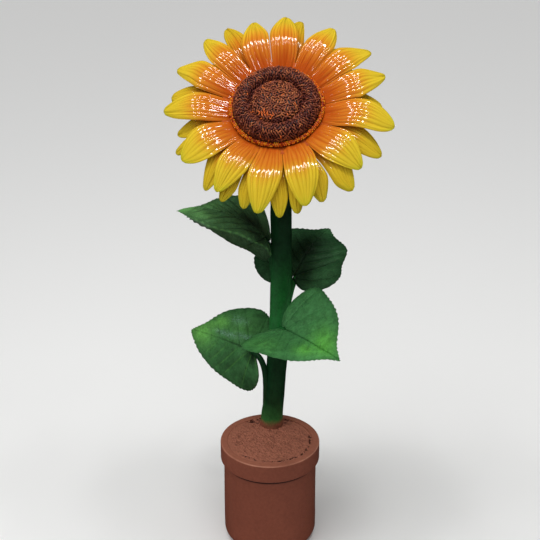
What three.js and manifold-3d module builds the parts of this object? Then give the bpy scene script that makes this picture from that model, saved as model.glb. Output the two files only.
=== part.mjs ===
// A decorative model of a sunflower, cast in resin and painted, that stands in a round
// pot. Millimetres, +Z up. The origin is the centre of the pot's flat underside and the
// flower looks towards -Y.

import * as THREE from 'three';
import { mergeVertices } from 'three/addons/utils/BufferGeometryUtils.js';
import Module from 'manifold-3d';

const wasm = await Module();
wasm.setup();

// ---- driving dimensions ----------------------------------------------------------

const GAP = 0.35; // clearance kept between two separate pieces

const POT = {
  height: 200,
  rimRadius: 90,
  rimHeight: 34,
  rimRound: 5,
  mouthRadius: 77,
  rimBevel: 2, // the small slopes at the rim's lower edge and around the mouth
  bodyRadius: 84,
  footRound: 20,
  wellDepth: 40, // the well in the pot that the soil fills
  sides: 40,
};

const SOIL = { rimDrop: 3, dome: 1.5, moundHeight: 3.5, moundRadius: 30, sink: 10 };

const STEM = {
  radius: 18.4,
  flareRadius: 22,
  flareHeight: 27,
  sides: 18,
  rings: 18,
};

// The stem's axis from the soil to where the neck starts to bend: [x, y, z].
const STEM_AXIS = [
  [3, 50, POT.height - SOIL.sink],
  [7, 50.5, 256],
  [14, 51, 360],
  [18.6, 51, 461],
  [19.5, 51, 570],
  [18.4, 50, 680],
];

const NECK = { radius: 64, straight: 12 }; // the bend under the flower, and its straight end

const HEAD = {
  centre: [10.6, 0, 842.7],
  elevation: 54.4, // how far the face of the flower tilts up, degrees
  turn: -7.8, // how far it turns from -Y towards +X, degrees
  sides: 40,
};

// The seed disc's profile in the head's frame: [radius, height], from the rim inwards.
const DISC_PROFILE = [
  [72.6, -6],
  [73.6, -1],
  [74.6, 4],
  [73, 11],
  [67, 17],
  [58, 19.5],
  [49, 17.5],
  [43, 12.5],
  [37, 15.5],
  [27, 19],
  [13, 20.8],
  [0, 21],
];

const BEAD_RING = { radius: 76.8, tube: 3.6, height: -5.3, sides: 8 };

// The green cup under the petals, [radius, height], from its top rim down to the neck.
const CALYX_PROFILE = [
  [72.4, -6 - GAP],
  [72.6, -9.2],
  [80, -9.2],
  [80, -14.5],
  [75.5, -15],
  [75.5, -29],
  [69, -35],
  [46, -42],
  [27, -50],
  [20, -56],
];

// The pointed leaflets around the cup, from radius `root` out to radius `reach`.
const BRACTS = {
  count: 14,
  root: 62,
  reach: 122,
  halfWidth: 13,
  tipHalfWidth: 0.8,
  height: -29.5,
  rise: 3,
  crown: 1.5,
  thickness: 3.4,
};

const PETAL = {
  thickness: 4.6,
  tipHalfWidth: 3,
  widest: 0.46, // share of the length at which the petal starts to narrow
  rise: 22, // slope of the inner part, degrees
  fall: -34, // slope of the outer part, degrees
  knee: [0.2, 0.8], // shares of the length between which the slope changes
  crown: 5,
  edgeThinning: 0.5,
  tipThinning: 0.3,
  sideGap: 0.55, // what each side stays short of halfway to the next petal
  lengthSteps: 8,
  widthSteps: 4,
};

// For each petal: where it points, in degrees clockwise from the top; its length; its half
// width; how full its tip is, from pointed, 1, to blunt, 2.6; and how far the tip leans
// anticlockwise.
const FRONT_PETALS = {
  start: 81.7,
  height: -8.2,
  petals: [
    [-1, 124, 25, 1.4, 2.5],
    [27, 118, 26, 1.15, 10.5],
    [46, 121, 30, 1, -6.5],
    [69, 117, 32, 1, 15],
    [93.5, 123, 28, 2.6, -5.5],
    [124, 105, 32, 1.3, -1.5],
    [155.5, 115, 28, 1.6, -14.5],
    [181.5, 123, 28, 1.4, -6],
    [205.5, 106, 27, 1.3, -4.5],
    [234.5, 106, 32, 2.1, 1],
    [265, 117, 28, 1.4, -7],
    [294, 122, 32, 1, 2.5],
    [311, 125, 22, 1.25, -14],
    [338.5, 118, 27, 1, -9],
  ],
};
const BACK_PETALS = {
  start: 76.8,
  height: -23.5,
  petals: [
    [2.5, 134, 24, 1.1, -9],
    [32, 98, 24, 1.5, 0],
    [57, 98, 24, 1.5, 0],
    [82, 104, 26, 2, 4],
    [108.5, 121, 23, 2.3, -7],
    [134.5, 123, 30, 1.4, -1],
    [147.5, 114, 24, 1.5, -9],
    [162.5, 122, 20, 1.6, -6],
    [172.5, 126, 22, 1.2, -2],
    [193, 115, 19, 1.6, 4],
    [202.5, 116, 20, 1.5, -4],
    [219, 113, 25, 1.1, 13],
    [243, 112, 22, 1.25, 0],
    [253, 100, 20, 2, -3],
    [275, 118, 26, 2.3, -13],
    [302, 100, 24, 1.5, 0],
    [328, 144, 18, 2.2, -3],
  ],
};

const LEAF = {
  thickness: 3.6,
  tipThinning: 0.4,
  centre: 0.39, // share of the midrib at which the blade is about widest
  notchDepth: 0.2,
  notchWidth: 0.38, // radians
  tipSharpness: 1.62,
  lobeFullness: 0.3,
  fanStart: 0.05, // the fan of strips starts just off the centre
  fanWidest: Math.PI - 0.1, // and stops just short of the notch
  fanSteps: 26,
  reachSteps: 5,
};

// Each leaf starts at `base`, where its stalk meets the blade, and heads off at `heading`
// degrees from +X. `pitch` is the first slope of its midrib and `droop` how far the midrib
// turns down along its length; `fold` and `curl` shape the left and right half across it.
// For each leaf, `edge` says how far its outline reaches next to the plain heart's, at
// twelve evenly spaced turns from the notch, by the right half and the tip, to the notch.
const LEAVES = [
  {
    side: 'lower_right',
    base: [23, -3, 431], length: 170, halfWidth: [90, 90],
    heading: -58, pitch: 10, droop: 7, roll: 28,
    fold: [22, 21], curl: [0, -12],
    edge: [0.87, 1.02, 1.17, 1, 1.04, 0.97, 1.03, 0.95, 0.99, 0.94, 1.04, 1],
    stalk: { height: 362, around: -78, lift: 70 },
  },
  {
    side: 'lower_left',
    base: [-31, 62, 350], length: 165, halfWidth: [90, 92],
    heading: 136, pitch: -3, droop: 5, roll: -54,
    fold: [-15, -13], curl: [42, 35],
    edge: [0.85, 0.93, 0.84, 0.97, 0.99, 0.92, 0.99, 1.01, 1.02, 0.98, 1.09, 1.17],
    stalk: { height: 222, around: 186, lift: 96 },
  },
  {
    side: 'upper_right',
    base: [42, 76, 491], length: 161, halfWidth: [90, 75],
    heading: 63, pitch: 33, droop: 40, roll: 14,
    fold: [-19, -21], curl: [-24, -50],
    edge: [0.65, 0.78, 1, 0.93, 1.08, 0.98, 0.99, 0.95, 1.02, 0.8, 1.03, 1.11],
    stalk: { height: 440, around: 20, lift: 62 },
  },
  {
    side: 'upper_left',
    base: [-10, 44, 585], length: 164, halfWidth: [80, 89],
    heading: 173, pitch: 48, droop: 63, roll: 12,
    fold: [-6, -2], curl: [20, -20],
    edge: [1.06, 1.02, 1.01, 1.04, 0.97, 0.88, 1.01, 1.03, 1.07, 0.99, 0.95, 1.33],
    stalk: { height: 512, around: 190, lift: 62 },
  },
];

const STALK = {
  footRadius: 6.2,
  endRadius: 5,
  sink: 8, // how far inside the stem's surface its axis starts
  overrun: 4, // how far it runs under the blade
  lean: 0.35, // how steeply it leaves the stem: outwards over upwards
  sides: 10,
  rings: 10,
};

const PAINT = {
  pot: { color: 0x7d4b3b, roughness: 0.62, metalness: 0 },
  soil: { color: 0x84503f, roughness: 0.8, metalness: 0 },
  stem: { color: 0x1d4a2a, roughness: 0.42, metalness: 0 },
  stalk: { color: 0x1a4025, roughness: 0.45, metalness: 0 },
  leaf: { color: 0x2f6a35, roughness: 0.5, metalness: 0 },
  petal: { color: 0xe0982a, roughness: 0.2, metalness: 0 },
  disc: { color: 0x4a2a20, roughness: 0.55, metalness: 0 },
  beads: { color: 0xd9721c, roughness: 0.35, metalness: 0 },
  calyx: { color: 0x2c5f30, roughness: 0.45, metalness: 0 },
};

// ---- small helpers ---------------------------------------------------------------

const rad = THREE.MathUtils.degToRad;

function paint(finish) {
  return new THREE.MeshStandardMaterial(PAINT[finish]);
}

function piece(name, geometry, finish) {
  const mesh = new THREE.Mesh(geometry, paint(finish));
  mesh.name = name;
  return mesh;
}

// A closed geometry with only positions, its shared corners merged.
function weld(geometry) {
  const bare = geometry.clone();
  bare.deleteAttribute('normal');
  bare.deleteAttribute('uv');
  return mergeVertices(bare, 1e-4);
}

function toSolid(geometry) {
  const bare = weld(geometry);
  return new wasm.Manifold(new wasm.Mesh({
    numProp: 3,
    vertProperties: new Float32Array(bare.attributes.position.array),
    triVerts: new Uint32Array(bare.index.array),
  }));
}

function toGeometry(solid) {
  const mesh = solid.getMesh();
  const geometry = new THREE.BufferGeometry();
  geometry.setAttribute('position', new THREE.BufferAttribute(mesh.vertProperties, 3));
  geometry.setIndex(new THREE.BufferAttribute(mesh.triVerts, 1));
  return geometry;
}

// Moves every corner of a geometry to place(corner).
function reshape(geometry, place) {
  const points = geometry.attributes.position;
  const corner = new THREE.Vector3();
  for (let i = 0; i < points.count; i += 1) {
    corner.fromBufferAttribute(points, i);
    const moved = place(corner);
    points.setXYZ(i, moved.x, moved.y, moved.z);
  }
  return geometry;
}

// A solid turned about +Z from a profile of [radius, height] pairs.
function turned(profile, sides) {
  const outline = profile.map(([radius, height]) => new THREE.Vector2(radius, height));
  return new THREE.LatheGeometry(outline, sides).rotateX(Math.PI / 2);
}

// A sheet with a thickness: a flat block whose length (0 to 1) and width (-1 to 1) are laid
// on surface(along, across), and whose two faces stand off it by half of thickness().
function sheet(lengthSteps, widthSteps, surface, thickness) {
  const block = new THREE.BoxGeometry(1, 2, 1, lengthSteps, widthSteps, 1);
  const step = 1e-3;
  return reshape(block, (corner) => {
    const along = corner.x + 0.5;
    const across = corner.y;
    const point = surface(along, across);
    const ahead = surface(along + step, across).sub(surface(along - step, across));
    const aside = surface(along, across + step).sub(surface(along, across - step));
    const normal = ahead.cross(aside).normalize();
    return point.addScaledVector(normal, corner.z * thickness(along, across));
  });
}

// A round limb along a curve, with radius(t) for t from 0 to 1.
function limb(curve, radius, sides, rings) {
  const tube = new THREE.CylinderGeometry(1, 1, 1, sides, rings);
  const level = new THREE.Vector3(1, 0, 0);
  return reshape(tube, (corner) => {
    const t = THREE.MathUtils.clamp(corner.y + 0.5, 0, 1);
    const ahead = curve.getTangentAt(t);
    const back = new THREE.Vector3().crossVectors(ahead, level).normalize();
    const right = new THREE.Vector3().crossVectors(back, ahead);
    return curve.getPointAt(t)
      .addScaledVector(right, corner.x * radius(t))
      .addScaledVector(back, -corner.z * radius(t));
  });
}

// How far a line gets, along and up, that starts at an angle and turns down evenly.
function bend(angle, turnDown, distance) {
  if (Math.abs(turnDown) < 1e-6) {
    return [Math.cos(angle) * distance, Math.sin(angle) * distance];
  }
  const end = angle - turnDown * distance;
  return [
    (Math.sin(angle) - Math.sin(end)) / turnDown,
    (Math.cos(end) - Math.cos(angle)) / turnDown,
  ];
}

// ---- pot and soil ----------------------------------------------------------------

// A quarter circle from angle `from` to `from + 90` degrees, as profile points.
function quarter(centreRadius, centreHeight, size, from, steps) {
  const points = [];
  for (let i = 0; i <= steps; i += 1) {
    const angle = rad(from + (90 * i) / steps);
    points.push([centreRadius + size * Math.cos(angle), centreHeight + size * Math.sin(angle)]);
  }
  return points;
}

function pot() {
  const { height, rimRadius, rimHeight, rimRound, rimBevel } = POT;
  const { mouthRadius, bodyRadius, footRound } = POT;
  const bandFoot = height - rimHeight;
  return turned([
    [0, 0],
    ...quarter(bodyRadius - footRound, footRound, footRound, -90, 4),
    [bodyRadius, bandFoot - rimBevel],
    [rimRadius - rimBevel, bandFoot],
    [rimRadius, bandFoot + rimBevel],
    ...quarter(rimRadius - rimRound, height - rimRound, rimRound, 0, 3),
    [mouthRadius + rimBevel, height],
    [mouthRadius, height - rimBevel],
    [mouthRadius, height - POT.wellDepth],
    [0, height - POT.wellDepth],
  ], POT.sides);
}

function soil(stemWithGap) {
  const edge = POT.mouthRadius - GAP;
  const bottom = POT.height - POT.wellDepth + GAP;
  const top = POT.height - SOIL.rimDrop;
  const rings = [0.8, 0.6, 0.4, 0.2];
  const plug = turned([
    [0, bottom],
    [edge, bottom],
    [edge, top],
    ...rings.map((share) => [edge * share, top + SOIL.dome * (1 - share)]),
    [0, top + SOIL.dome],
  ], POT.sides);
  const [footX, footY] = STEM_AXIS[0];
  const heaped = reshape(plug, (corner) => {
    const away = Math.hypot(corner.x - footX, corner.y - footY) / SOIL.moundRadius;
    const isTop = corner.z > top - 1 && Math.hypot(corner.x, corner.y) < edge - 1;
    const mound = isTop ? SOIL.moundHeight * Math.exp(-away * away) : 0;
    return corner.setZ(corner.z + mound);
  });
  return toGeometry(toSolid(heaped).subtract(stemWithGap));
}

// ---- stem ------------------------------------------------------------------------

const facing = new THREE.Vector3(
  Math.sin(rad(HEAD.turn)) * Math.cos(rad(HEAD.elevation)),
  -Math.cos(rad(HEAD.turn)) * Math.cos(rad(HEAD.elevation)),
  Math.sin(rad(HEAD.elevation)),
);
const headCentre = new THREE.Vector3(...HEAD.centre);

// The stem runs up to the neck and bends forward until it points the way the flower faces.
function neckPoints(end) {
  const lean = 90 - HEAD.elevation;
  const level = new THREE.Vector3(facing.x, facing.y, 0).normalize();
  return [0, 1 / 3, 2 / 3, 1].map((share) => {
    const angle = rad(lean * share);
    const back = NECK.radius * (Math.cos(angle) - Math.cos(rad(lean)));
    const down = NECK.radius * (Math.sin(rad(lean)) - Math.sin(angle));
    return end.clone().addScaledVector(level, -back).add(new THREE.Vector3(0, 0, -down));
  });
}

const neckEnd = headCentre.clone()
  .addScaledVector(facing, CALYX_PROFILE.at(-1)[1] - GAP);
const stemCurve = new THREE.CatmullRomCurve3([
  ...STEM_AXIS.map((point) => new THREE.Vector3(...point)),
  ...neckPoints(neckEnd.clone().addScaledVector(facing, -NECK.straight)),
  neckEnd.clone().addScaledVector(facing, -NECK.straight / 2),
  neckEnd,
], false, 'centripetal');
const stemLength = stemCurve.getLength();

function stemRadius(t) {
  const up = (t * stemLength) / STEM.flareHeight;
  return STEM.radius + (STEM.flareRadius - STEM.radius) * Math.exp(-up * up);
}

function stem(extra = 0) {
  return limb(stemCurve, (t) => stemRadius(t) + extra, STEM.sides, STEM.rings);
}

// The point on the stem's axis at a height, found by halving.
function stemAxisAt(height) {
  let low = 0;
  let high = 1;
  for (let i = 0; i < 30; i += 1) {
    const middle = (low + high) / 2;
    if (stemCurve.getPointAt(middle).z < height) low = middle;
    else high = middle;
  }
  return stemCurve.getPointAt(low);
}

// ---- leaves ----------------------------------------------------------------------

// The heart-shaped outline: the tip is at turn 0, the notch at the stalk near turn +-180.
// Gives the distance along the midrib and across it, as shares of length and half width.
function heart(turn) {
  const fromNotch = (Math.PI - Math.abs(turn)) / LEAF.notchWidth;
  const notch = LEAF.notchDepth * Math.exp(-fromNotch * fromNotch);
  const along = LEAF.centre + (1 - LEAF.centre) * Math.cos(turn) + notch;
  const fullness = 1 - LEAF.lobeFullness * Math.cos(turn);
  const across = Math.abs(Math.sin(turn)) ** LEAF.tipSharpness * fullness;
  return [along, Math.sign(turn) * across];
}

// The leaf's own outline next to the plain heart's: a smooth closed curve through the
// values of `edge`.
function edgeReach(leaf, turn) {
  const count = leaf.edge.length;
  const place = (turn / (2 * Math.PI) + 0.5) * count;
  const before = Math.floor(place);
  const part = place - before;
  const [a, b, c, d] = [-1, 0, 1, 2].map((k) => leaf.edge[(before + k + count) % count]);
  const bow = 2 * a - 5 * b + 4 * c - d + part * (3 * (b - c) + d - a);
  return b + (part * (c - a + part * bow)) / 2;
}

function leafAxes(leaf) {
  const heading = rad(leaf.heading);
  return {
    forward: new THREE.Vector3(Math.cos(heading), Math.sin(heading), 0),
    left: new THREE.Vector3(-Math.sin(heading), Math.cos(heading), 0),
    up: new THREE.Vector3(0, 0, 1),
  };
}

// A point of the blade from its place on the flat leaf.
function bladePoint(leaf, along, across) {
  const half = across > 0 ? 0 : 1;
  const [run, rise] = bend(rad(leaf.pitch), rad(leaf.droop), along);
  const [out, lift] = bend(rad(leaf.fold[half]), rad(leaf.curl[half]), Math.abs(across));
  const slope = rad(leaf.pitch - leaf.droop * along);
  const roll = rad(leaf.roll);
  const aside = Math.sign(across) * out * leaf.halfWidth[half];
  const above = lift * leaf.halfWidth[half];
  const sideways = aside * Math.cos(roll) - above * Math.sin(roll);
  const outward = aside * Math.sin(roll) + above * Math.cos(roll);
  const { forward, left, up } = leafAxes(leaf);
  return new THREE.Vector3(...leaf.base)
    .addScaledVector(forward, run * leaf.length - outward * Math.sin(slope))
    .addScaledVector(left, sideways)
    .addScaledVector(up, rise * leaf.length + outward * Math.cos(slope));
}

function blade(leaf) {
  const surface = (along, across) => {
    const turn = Math.sign(across) * LEAF.fanWidest * Math.abs(across) ** 0.85;
    const share = (LEAF.fanStart + (1 - LEAF.fanStart) * along) * edgeReach(leaf, turn);
    const [ahead, aside] = heart(turn);
    return bladePoint(leaf, ahead * share, aside * share);
  };
  const thickness = (along) => LEAF.thickness * (1 - LEAF.tipThinning * along);
  return sheet(LEAF.reachSteps, LEAF.fanSteps, surface, thickness);
}

// The stalk's route: up out of the stem, then over into the direction of the midrib.
function stalkCurve(leaf) {
  const { height, around, lift } = leaf.stalk;
  const outward = new THREE.Vector3(Math.cos(rad(around)), Math.sin(rad(around)), 0);
  const foot = stemAxisAt(height).addScaledVector(outward, STEM.radius - STALK.sink);
  const { forward, up } = leafAxes(leaf);
  const arrival = forward.multiplyScalar(Math.cos(rad(leaf.pitch)))
    .addScaledVector(up, Math.sin(rad(leaf.pitch)));
  const end = new THREE.Vector3(...leaf.base).addScaledVector(arrival, STALK.overrun);
  const rising = new THREE.Vector3(0, 0, 1).addScaledVector(outward, STALK.lean).normalize();
  return new THREE.CubicBezierCurve3(
    foot,
    foot.clone().addScaledVector(rising, lift / 2),
    end.clone().addScaledVector(arrival, -lift / 2),
    end,
  );
}

function stalk(leaf, extra = 0) {
  const radius = (t) => THREE.MathUtils.lerp(STALK.footRadius, STALK.endRadius, t) + extra;
  return limb(stalkCurve(leaf), radius, STALK.sides, STALK.rings);
}

// ---- flower head -----------------------------------------------------------------

// A petal's middle line: [how far out, how far up] it has come at a share of its length,
// summed over short steps of which each has the slope of its own place.
function petalRib(length, share) {
  const steps = 16;
  const step = (length * share) / steps;
  let out = 0;
  let up = 0;
  for (let i = 0; i < steps; i += 1) {
    const place = ((i + 0.5) / steps) * share;
    const turned = THREE.MathUtils.smoothstep(place, ...PETAL.knee);
    const slope = rad(THREE.MathUtils.lerp(PETAL.rise, PETAL.fall, turned));
    out += Math.cos(slope) * step;
    up += Math.sin(slope) * step;
  }
  return [out, up];
}

// How far a petal's left and right edges would like to be from its middle line at a share
// of its length: it narrows from its widest place to the tip, which leans to one side.
function petalEdges([, , halfWidth, fullness, lean], share) {
  const place = THREE.MathUtils.clamp(share, 0, 1);
  const out = Math.max(0, (place - PETAL.widest) / (1 - PETAL.widest));
  const taper = (1 - out ** fullness) ** 0.75;
  const wide = PETAL.tipHalfWidth + (halfWidth - PETAL.tipHalfWidth) * taper;
  const leaning = lean * place ** 2.5;
  return [wide + leaning, wide - leaning];
}

// A petal lies along +X of its own frame. It fills the space up to halfway to its
// neighbours, which lie `gapLeft` and `gapRight` degrees away.
function petal(row, shape, gapLeft, gapRight) {
  const [, length] = shape;
  const surface = (along, across) => {
    const [run, rise] = petalRib(length, along);
    const radius = row.start + run;
    const roomFor = (gap) => radius * Math.tan(rad(gap) / 2) - PETAL.sideGap;
    const [wishLeft, wishRight] = petalEdges(shape, along);
    const left = Math.min(wishLeft, roomFor(gapLeft));
    const right = Math.min(wishRight, roomFor(gapRight));
    const aside = ((left - right) + across * (left + right)) / 2;
    const arching = Math.sin(Math.PI * THREE.MathUtils.clamp(along, 0, 1));
    const crown = PETAL.crown * across * across * arching;
    return new THREE.Vector3(radius, aside, row.height + rise - crown);
  };
  const thickness = (along, across) => {
    const thinning = (1 - PETAL.edgeThinning * across * across) * (1 - PETAL.tipThinning * along);
    return PETAL.thickness * thinning;
  };
  return sheet(PETAL.lengthSteps, PETAL.widthSteps, surface, thickness);
}

function petalRow(prefix, row) {
  const count = row.petals.length;
  return row.petals.map((shape, i) => {
    const [turn] = shape;
    const [before] = row.petals[(i + count - 1) % count];
    const [after] = row.petals[(i + 1) % count];
    const gapLeft = turn - before + (i === 0 ? 360 : 0);
    const gapRight = after - turn + (i === count - 1 ? 360 : 0);
    const geometry = petal(row, shape, gapLeft, gapRight);
    const mesh = piece(`${prefix}_${String(i + 1).padStart(2, '0')}`, geometry, 'petal');
    mesh.rotation.z = rad(90 - turn);
    return mesh;
  });
}

function disc() {
  return turned([[0, DISC_PROFILE[0][1]], ...DISC_PROFILE], HEAD.sides);
}

function beadRing() {
  const { radius, tube, height, sides } = BEAD_RING;
  const section = [];
  for (let i = 0; i <= sides; i += 1) {
    const angle = (2 * Math.PI * (i % sides)) / sides;
    section.push([radius + tube * Math.cos(angle), height + tube * Math.sin(angle)]);
  }
  return turned(section, HEAD.sides);
}

// One pointed green bract that lies along +X under the petals.
function bract() {
  const { root, reach, height, rise, crown, thickness } = BRACTS;
  const surface = (along, across) => {
    const narrowing = Math.max(0, along) ** 2.4;
    const halfWidth = THREE.MathUtils.lerp(BRACTS.halfWidth, BRACTS.tipHalfWidth, narrowing);
    return new THREE.Vector3(
      THREE.MathUtils.lerp(root, reach, along),
      across * halfWidth,
      height + rise * along - crown * across * across,
    );
  };
  return sheet(4, 2, surface, () => thickness);
}

function calyx() {
  const down = [...CALYX_PROFILE].reverse();
  const cup = turned([[0, down[0][1]], ...down, [0, CALYX_PROFILE[0][1]]], HEAD.sides);
  let whole = toSolid(cup);
  for (let i = 0; i < BRACTS.count; i += 1) {
    const turn = (2 * Math.PI * (i + 0.5)) / BRACTS.count;
    whole = whole.add(toSolid(bract().rotateZ(turn)));
  }
  return toGeometry(whole);
}

function flowerHead() {
  const head = new THREE.Group();
  const turn = rad(HEAD.turn);
  const elevation = rad(HEAD.elevation);
  const upwards = new THREE.Vector3(
    -Math.sin(turn) * Math.sin(elevation),
    Math.cos(turn) * Math.sin(elevation),
    Math.cos(elevation),
  );
  const rightwards = new THREE.Vector3().crossVectors(upwards, facing);
  const axes = new THREE.Matrix4().makeBasis(rightwards, upwards, facing);
  head.quaternion.setFromRotationMatrix(axes);
  head.position.copy(headCentre);
  head.add(
    piece('calyx', calyx(), 'calyx'),
    piece('seed_disc', disc(), 'disc'),
    piece('bead_ring', beadRing(), 'beads'),
    ...petalRow('petal_front', FRONT_PETALS),
    ...petalRow('petal_back', BACK_PETALS),
  );
  return head;
}

// ---- the whole plant -------------------------------------------------------------

const plant = new THREE.Group();
const stemWithGap = toSolid(stem(GAP));

plant.add(
  piece('pot', pot(), 'pot'),
  piece('soil', soil(stemWithGap), 'soil'),
  piece('stem', stem(), 'stem'),
);

for (const leaf of LEAVES) {
  const stalkSolid = toSolid(stalk(leaf)).subtract(stemWithGap);
  const bladeSolid = toSolid(blade(leaf)).subtract(toSolid(stalk(leaf, GAP)));
  plant.add(
    piece(`stalk_${leaf.side}`, toGeometry(stalkSolid), 'stalk'),
    piece(`leaf_${leaf.side}`, toGeometry(bladeSolid), 'leaf'),
  );
}

plant.add(flowerHead());

export default plant;
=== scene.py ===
# %% [markdown]
# # A cast and painted model of a sunflower
# The real thing is a decoration about as high as a kitchen worktop. It is cast in resin, painted
# by airbrush and varnished on the flower, and it stands in a round pot that is cast with it.
# The CAD model already fixes where everything is. This script dresses it, so the first step is to
# load that frame.

# %% Load the frame
import bpy
import numpy as np
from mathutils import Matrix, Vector


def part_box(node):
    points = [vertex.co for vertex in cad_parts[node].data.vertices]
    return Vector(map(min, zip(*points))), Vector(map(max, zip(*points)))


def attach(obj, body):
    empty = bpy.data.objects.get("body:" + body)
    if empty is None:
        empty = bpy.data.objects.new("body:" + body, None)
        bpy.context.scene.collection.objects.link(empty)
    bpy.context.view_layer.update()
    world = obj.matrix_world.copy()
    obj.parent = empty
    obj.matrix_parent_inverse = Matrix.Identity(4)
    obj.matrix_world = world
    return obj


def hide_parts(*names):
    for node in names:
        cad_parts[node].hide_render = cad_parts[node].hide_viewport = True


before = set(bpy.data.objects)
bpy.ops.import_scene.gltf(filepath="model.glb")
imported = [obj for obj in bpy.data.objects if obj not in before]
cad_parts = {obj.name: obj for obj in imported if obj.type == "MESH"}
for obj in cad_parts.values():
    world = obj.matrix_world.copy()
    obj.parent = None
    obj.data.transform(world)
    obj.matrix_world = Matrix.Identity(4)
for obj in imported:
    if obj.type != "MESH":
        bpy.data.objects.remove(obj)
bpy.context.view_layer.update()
print("CAD nodes:", len(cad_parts))

# %% [markdown]
# ## Working in millimetres
# A casting like this is measured in millimetres and Blender counts in metres, so every shape is
# worked out in millimetres and scaled once, when it becomes a mesh. A few small functions do most
# of the arithmetic: a smooth step and a bell curve, which fade one shape into another, a field of
# random lumps, and a smooth curve through a few points.

# %% Arithmetic
MM = 0.001
UP = np.array([0.0, 0.0, 1.0])


def smooth_step(value, low=0.0, high=1.0):
    """0 below low, 1 above high, and the curve 3t^2 - 2t^3 in between."""
    t = np.clip((value - low) / (high - low), 0, 1)
    return t * t * (3 - 2 * t)


def window(value, rise, fall):
    """Smoothly up from 0 to 1 over the stretch `rise`, and back to 0 over `fall`."""
    return smooth_step(value, *rise) * (1 - smooth_step(value, *fall))


def bell(value, width):
    """1 at 0 and less on both sides, as exp(-(value / width)^2)."""
    return np.exp(-(value / width) ** 2)


def xyz(x, y, z):
    """Points from their three coordinates, all stretched to one shape."""
    return np.stack(np.broadcast_arrays(x, y, z), axis=-1)


def full_turn(sides):
    """The angles of that many even steps round a circle."""
    return np.linspace(0, 2 * np.pi, sides, endpoint=False)


def around_axis(radius, angle, height):
    """Points at that radius and angle round +Z."""
    return xyz(radius * np.cos(angle), radius * np.sin(angle), height)


def lumps(points, size, seed):
    """Value noise from -1 to 1: random numbers at the corners of cubes of that size, and a
    smooth blend of the eight nearest corners at every point. Each use has its own seed."""
    cells = 32
    table = np.random.default_rng(seed).uniform(-1, 1, (cells, cells, cells))
    corner = np.floor(points / size).astype(int)
    part = smooth_step(points / size - corner)
    total = np.zeros(points.shape[:-1])
    for step in np.ndindex(2, 2, 2):
        weight = np.prod(np.where(step, part, 1 - part), axis=-1)
        x, y, z = np.moveaxis((corner + step) % cells, -1, 0)
        total += weight * table[x, y, z]
    return total


def curve_through(knots, count):
    """A smooth curve through the knots, as `count` points: on each stretch the cubic that
    leaves and arrives in the mean direction of its neighbours, timed by the root of the
    distances so that it never loops."""
    knots = np.asarray(knots, float)
    padded = np.vstack([2 * knots[0] - knots[1], knots, 2 * knots[-1] - knots[-2]])
    times = np.concatenate([[0], np.cumsum(np.linalg.norm(np.diff(padded, axis=0), axis=1) ** 0.5)])
    gaps = np.diff(times)[:, None]
    slopes = np.diff(padded, axis=0) / gaps
    tangents = (slopes[:-1] * gaps[1:] + slopes[1:] * gaps[:-1]) / (gaps[1:] + gaps[:-1])
    moments = np.linspace(times[1], times[-2], 40 * len(knots))
    stretch = np.clip(np.searchsorted(times[1:-1], moments) - 1, 0, len(knots) - 2)
    span = gaps[1:-1][stretch]
    t = (moments[:, None] - times[1:-1][stretch][:, None]) / span
    start, end = knots[stretch], knots[stretch + 1]
    leave, arrive = tangents[stretch] * span, tangents[stretch + 1] * span
    dense = ((1 + 2 * t) * (1 - t) ** 2 * start + t * (1 - t) ** 2 * leave
             + t * t * (3 - 2 * t) * end + t * t * (t - 1) * arrive)
    return evenly(dense, count)


def evenly(points, count):
    """The same path as `count` points that lie equally far apart along it."""
    steps = np.linalg.norm(np.diff(points, axis=0), axis=1)
    travelled = np.concatenate([[0], np.cumsum(steps)])
    wanted = np.linspace(0, travelled[-1], count)
    return np.stack([np.interp(wanted, travelled, axis) for axis in points.T], axis=-1)


def unit(vectors):
    """The same directions with length 1."""
    return vectors / np.maximum(np.linalg.norm(vectors, axis=-1, keepdims=True), 1e-9)


def surface_normals(surface):
    """Unit normals of a grid of points, across its rows and columns."""
    return unit(np.cross(np.gradient(surface, axis=1), np.gradient(surface, axis=0)))


print("a step half way:", smooth_step(0.5))

# %% [markdown]
# ## From arrays to closed meshes
# Every piece here is one of three things. A *loft* is a stack of closed rings, like a stem, a
# grain or a turned pot, and a *hoop* is a loft whose last ring meets its first. A *slab* is a thin
# sheet with a front and a back, like a petal or a leaf. All are made of four-sided faces only, so
# that a mesh is just an array of points and an array of corners, with no loop over vertices.
# Whichever way a formula happens to run, the sign of the enclosed volume tells whether the faces
# point outwards.

# %% Mesh builders


def grid_faces(rows, columns, wrap=False):
    """Quads between the points of a grid that is numbered row by row."""
    row, column = np.meshgrid(np.arange(rows - 1), np.arange(columns - (not wrap)), indexing="ij")
    here, right = row * columns + column, row * columns + (column + 1) % columns
    return np.stack([here, right, right + columns, here + columns], axis=-1).reshape(-1, 4)


def loft_faces(rings, sides):
    """Quads of a stack of rings with an even number of sides. Strips straight across the
    first and the last ring close its ends."""
    strip = np.arange(sides // 2 - 1)
    lid = np.stack([strip, strip + 1, sides - 2 - strip, sides - 1 - strip], axis=-1)
    return np.vstack([grid_faces(rings, sides, True), lid[:, ::-1], lid + (rings - 1) * sides])


def hoop_faces(rings, sides):
    """Quads of rings that close in a circle, like those of a tyre."""
    return grid_faces(rings + 1, sides, True) % (rings * sides)


def slab_faces(rows, columns):
    """Quads of a sheet: a front grid, the same grid turned over as its back, and a wall
    around the border."""
    front = grid_faces(rows, columns)
    number = np.arange(rows * columns).reshape(rows, columns)
    border = np.concatenate([number[0, :-1], number[:-1, -1], number[-1, :0:-1], number[:0:-1, 0]])
    after = np.roll(border, -1)
    back = rows * columns
    wall = np.stack([after, border, border + back, after + back], axis=-1)
    return np.vstack([front, front[:, ::-1] + back, wall])


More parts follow.
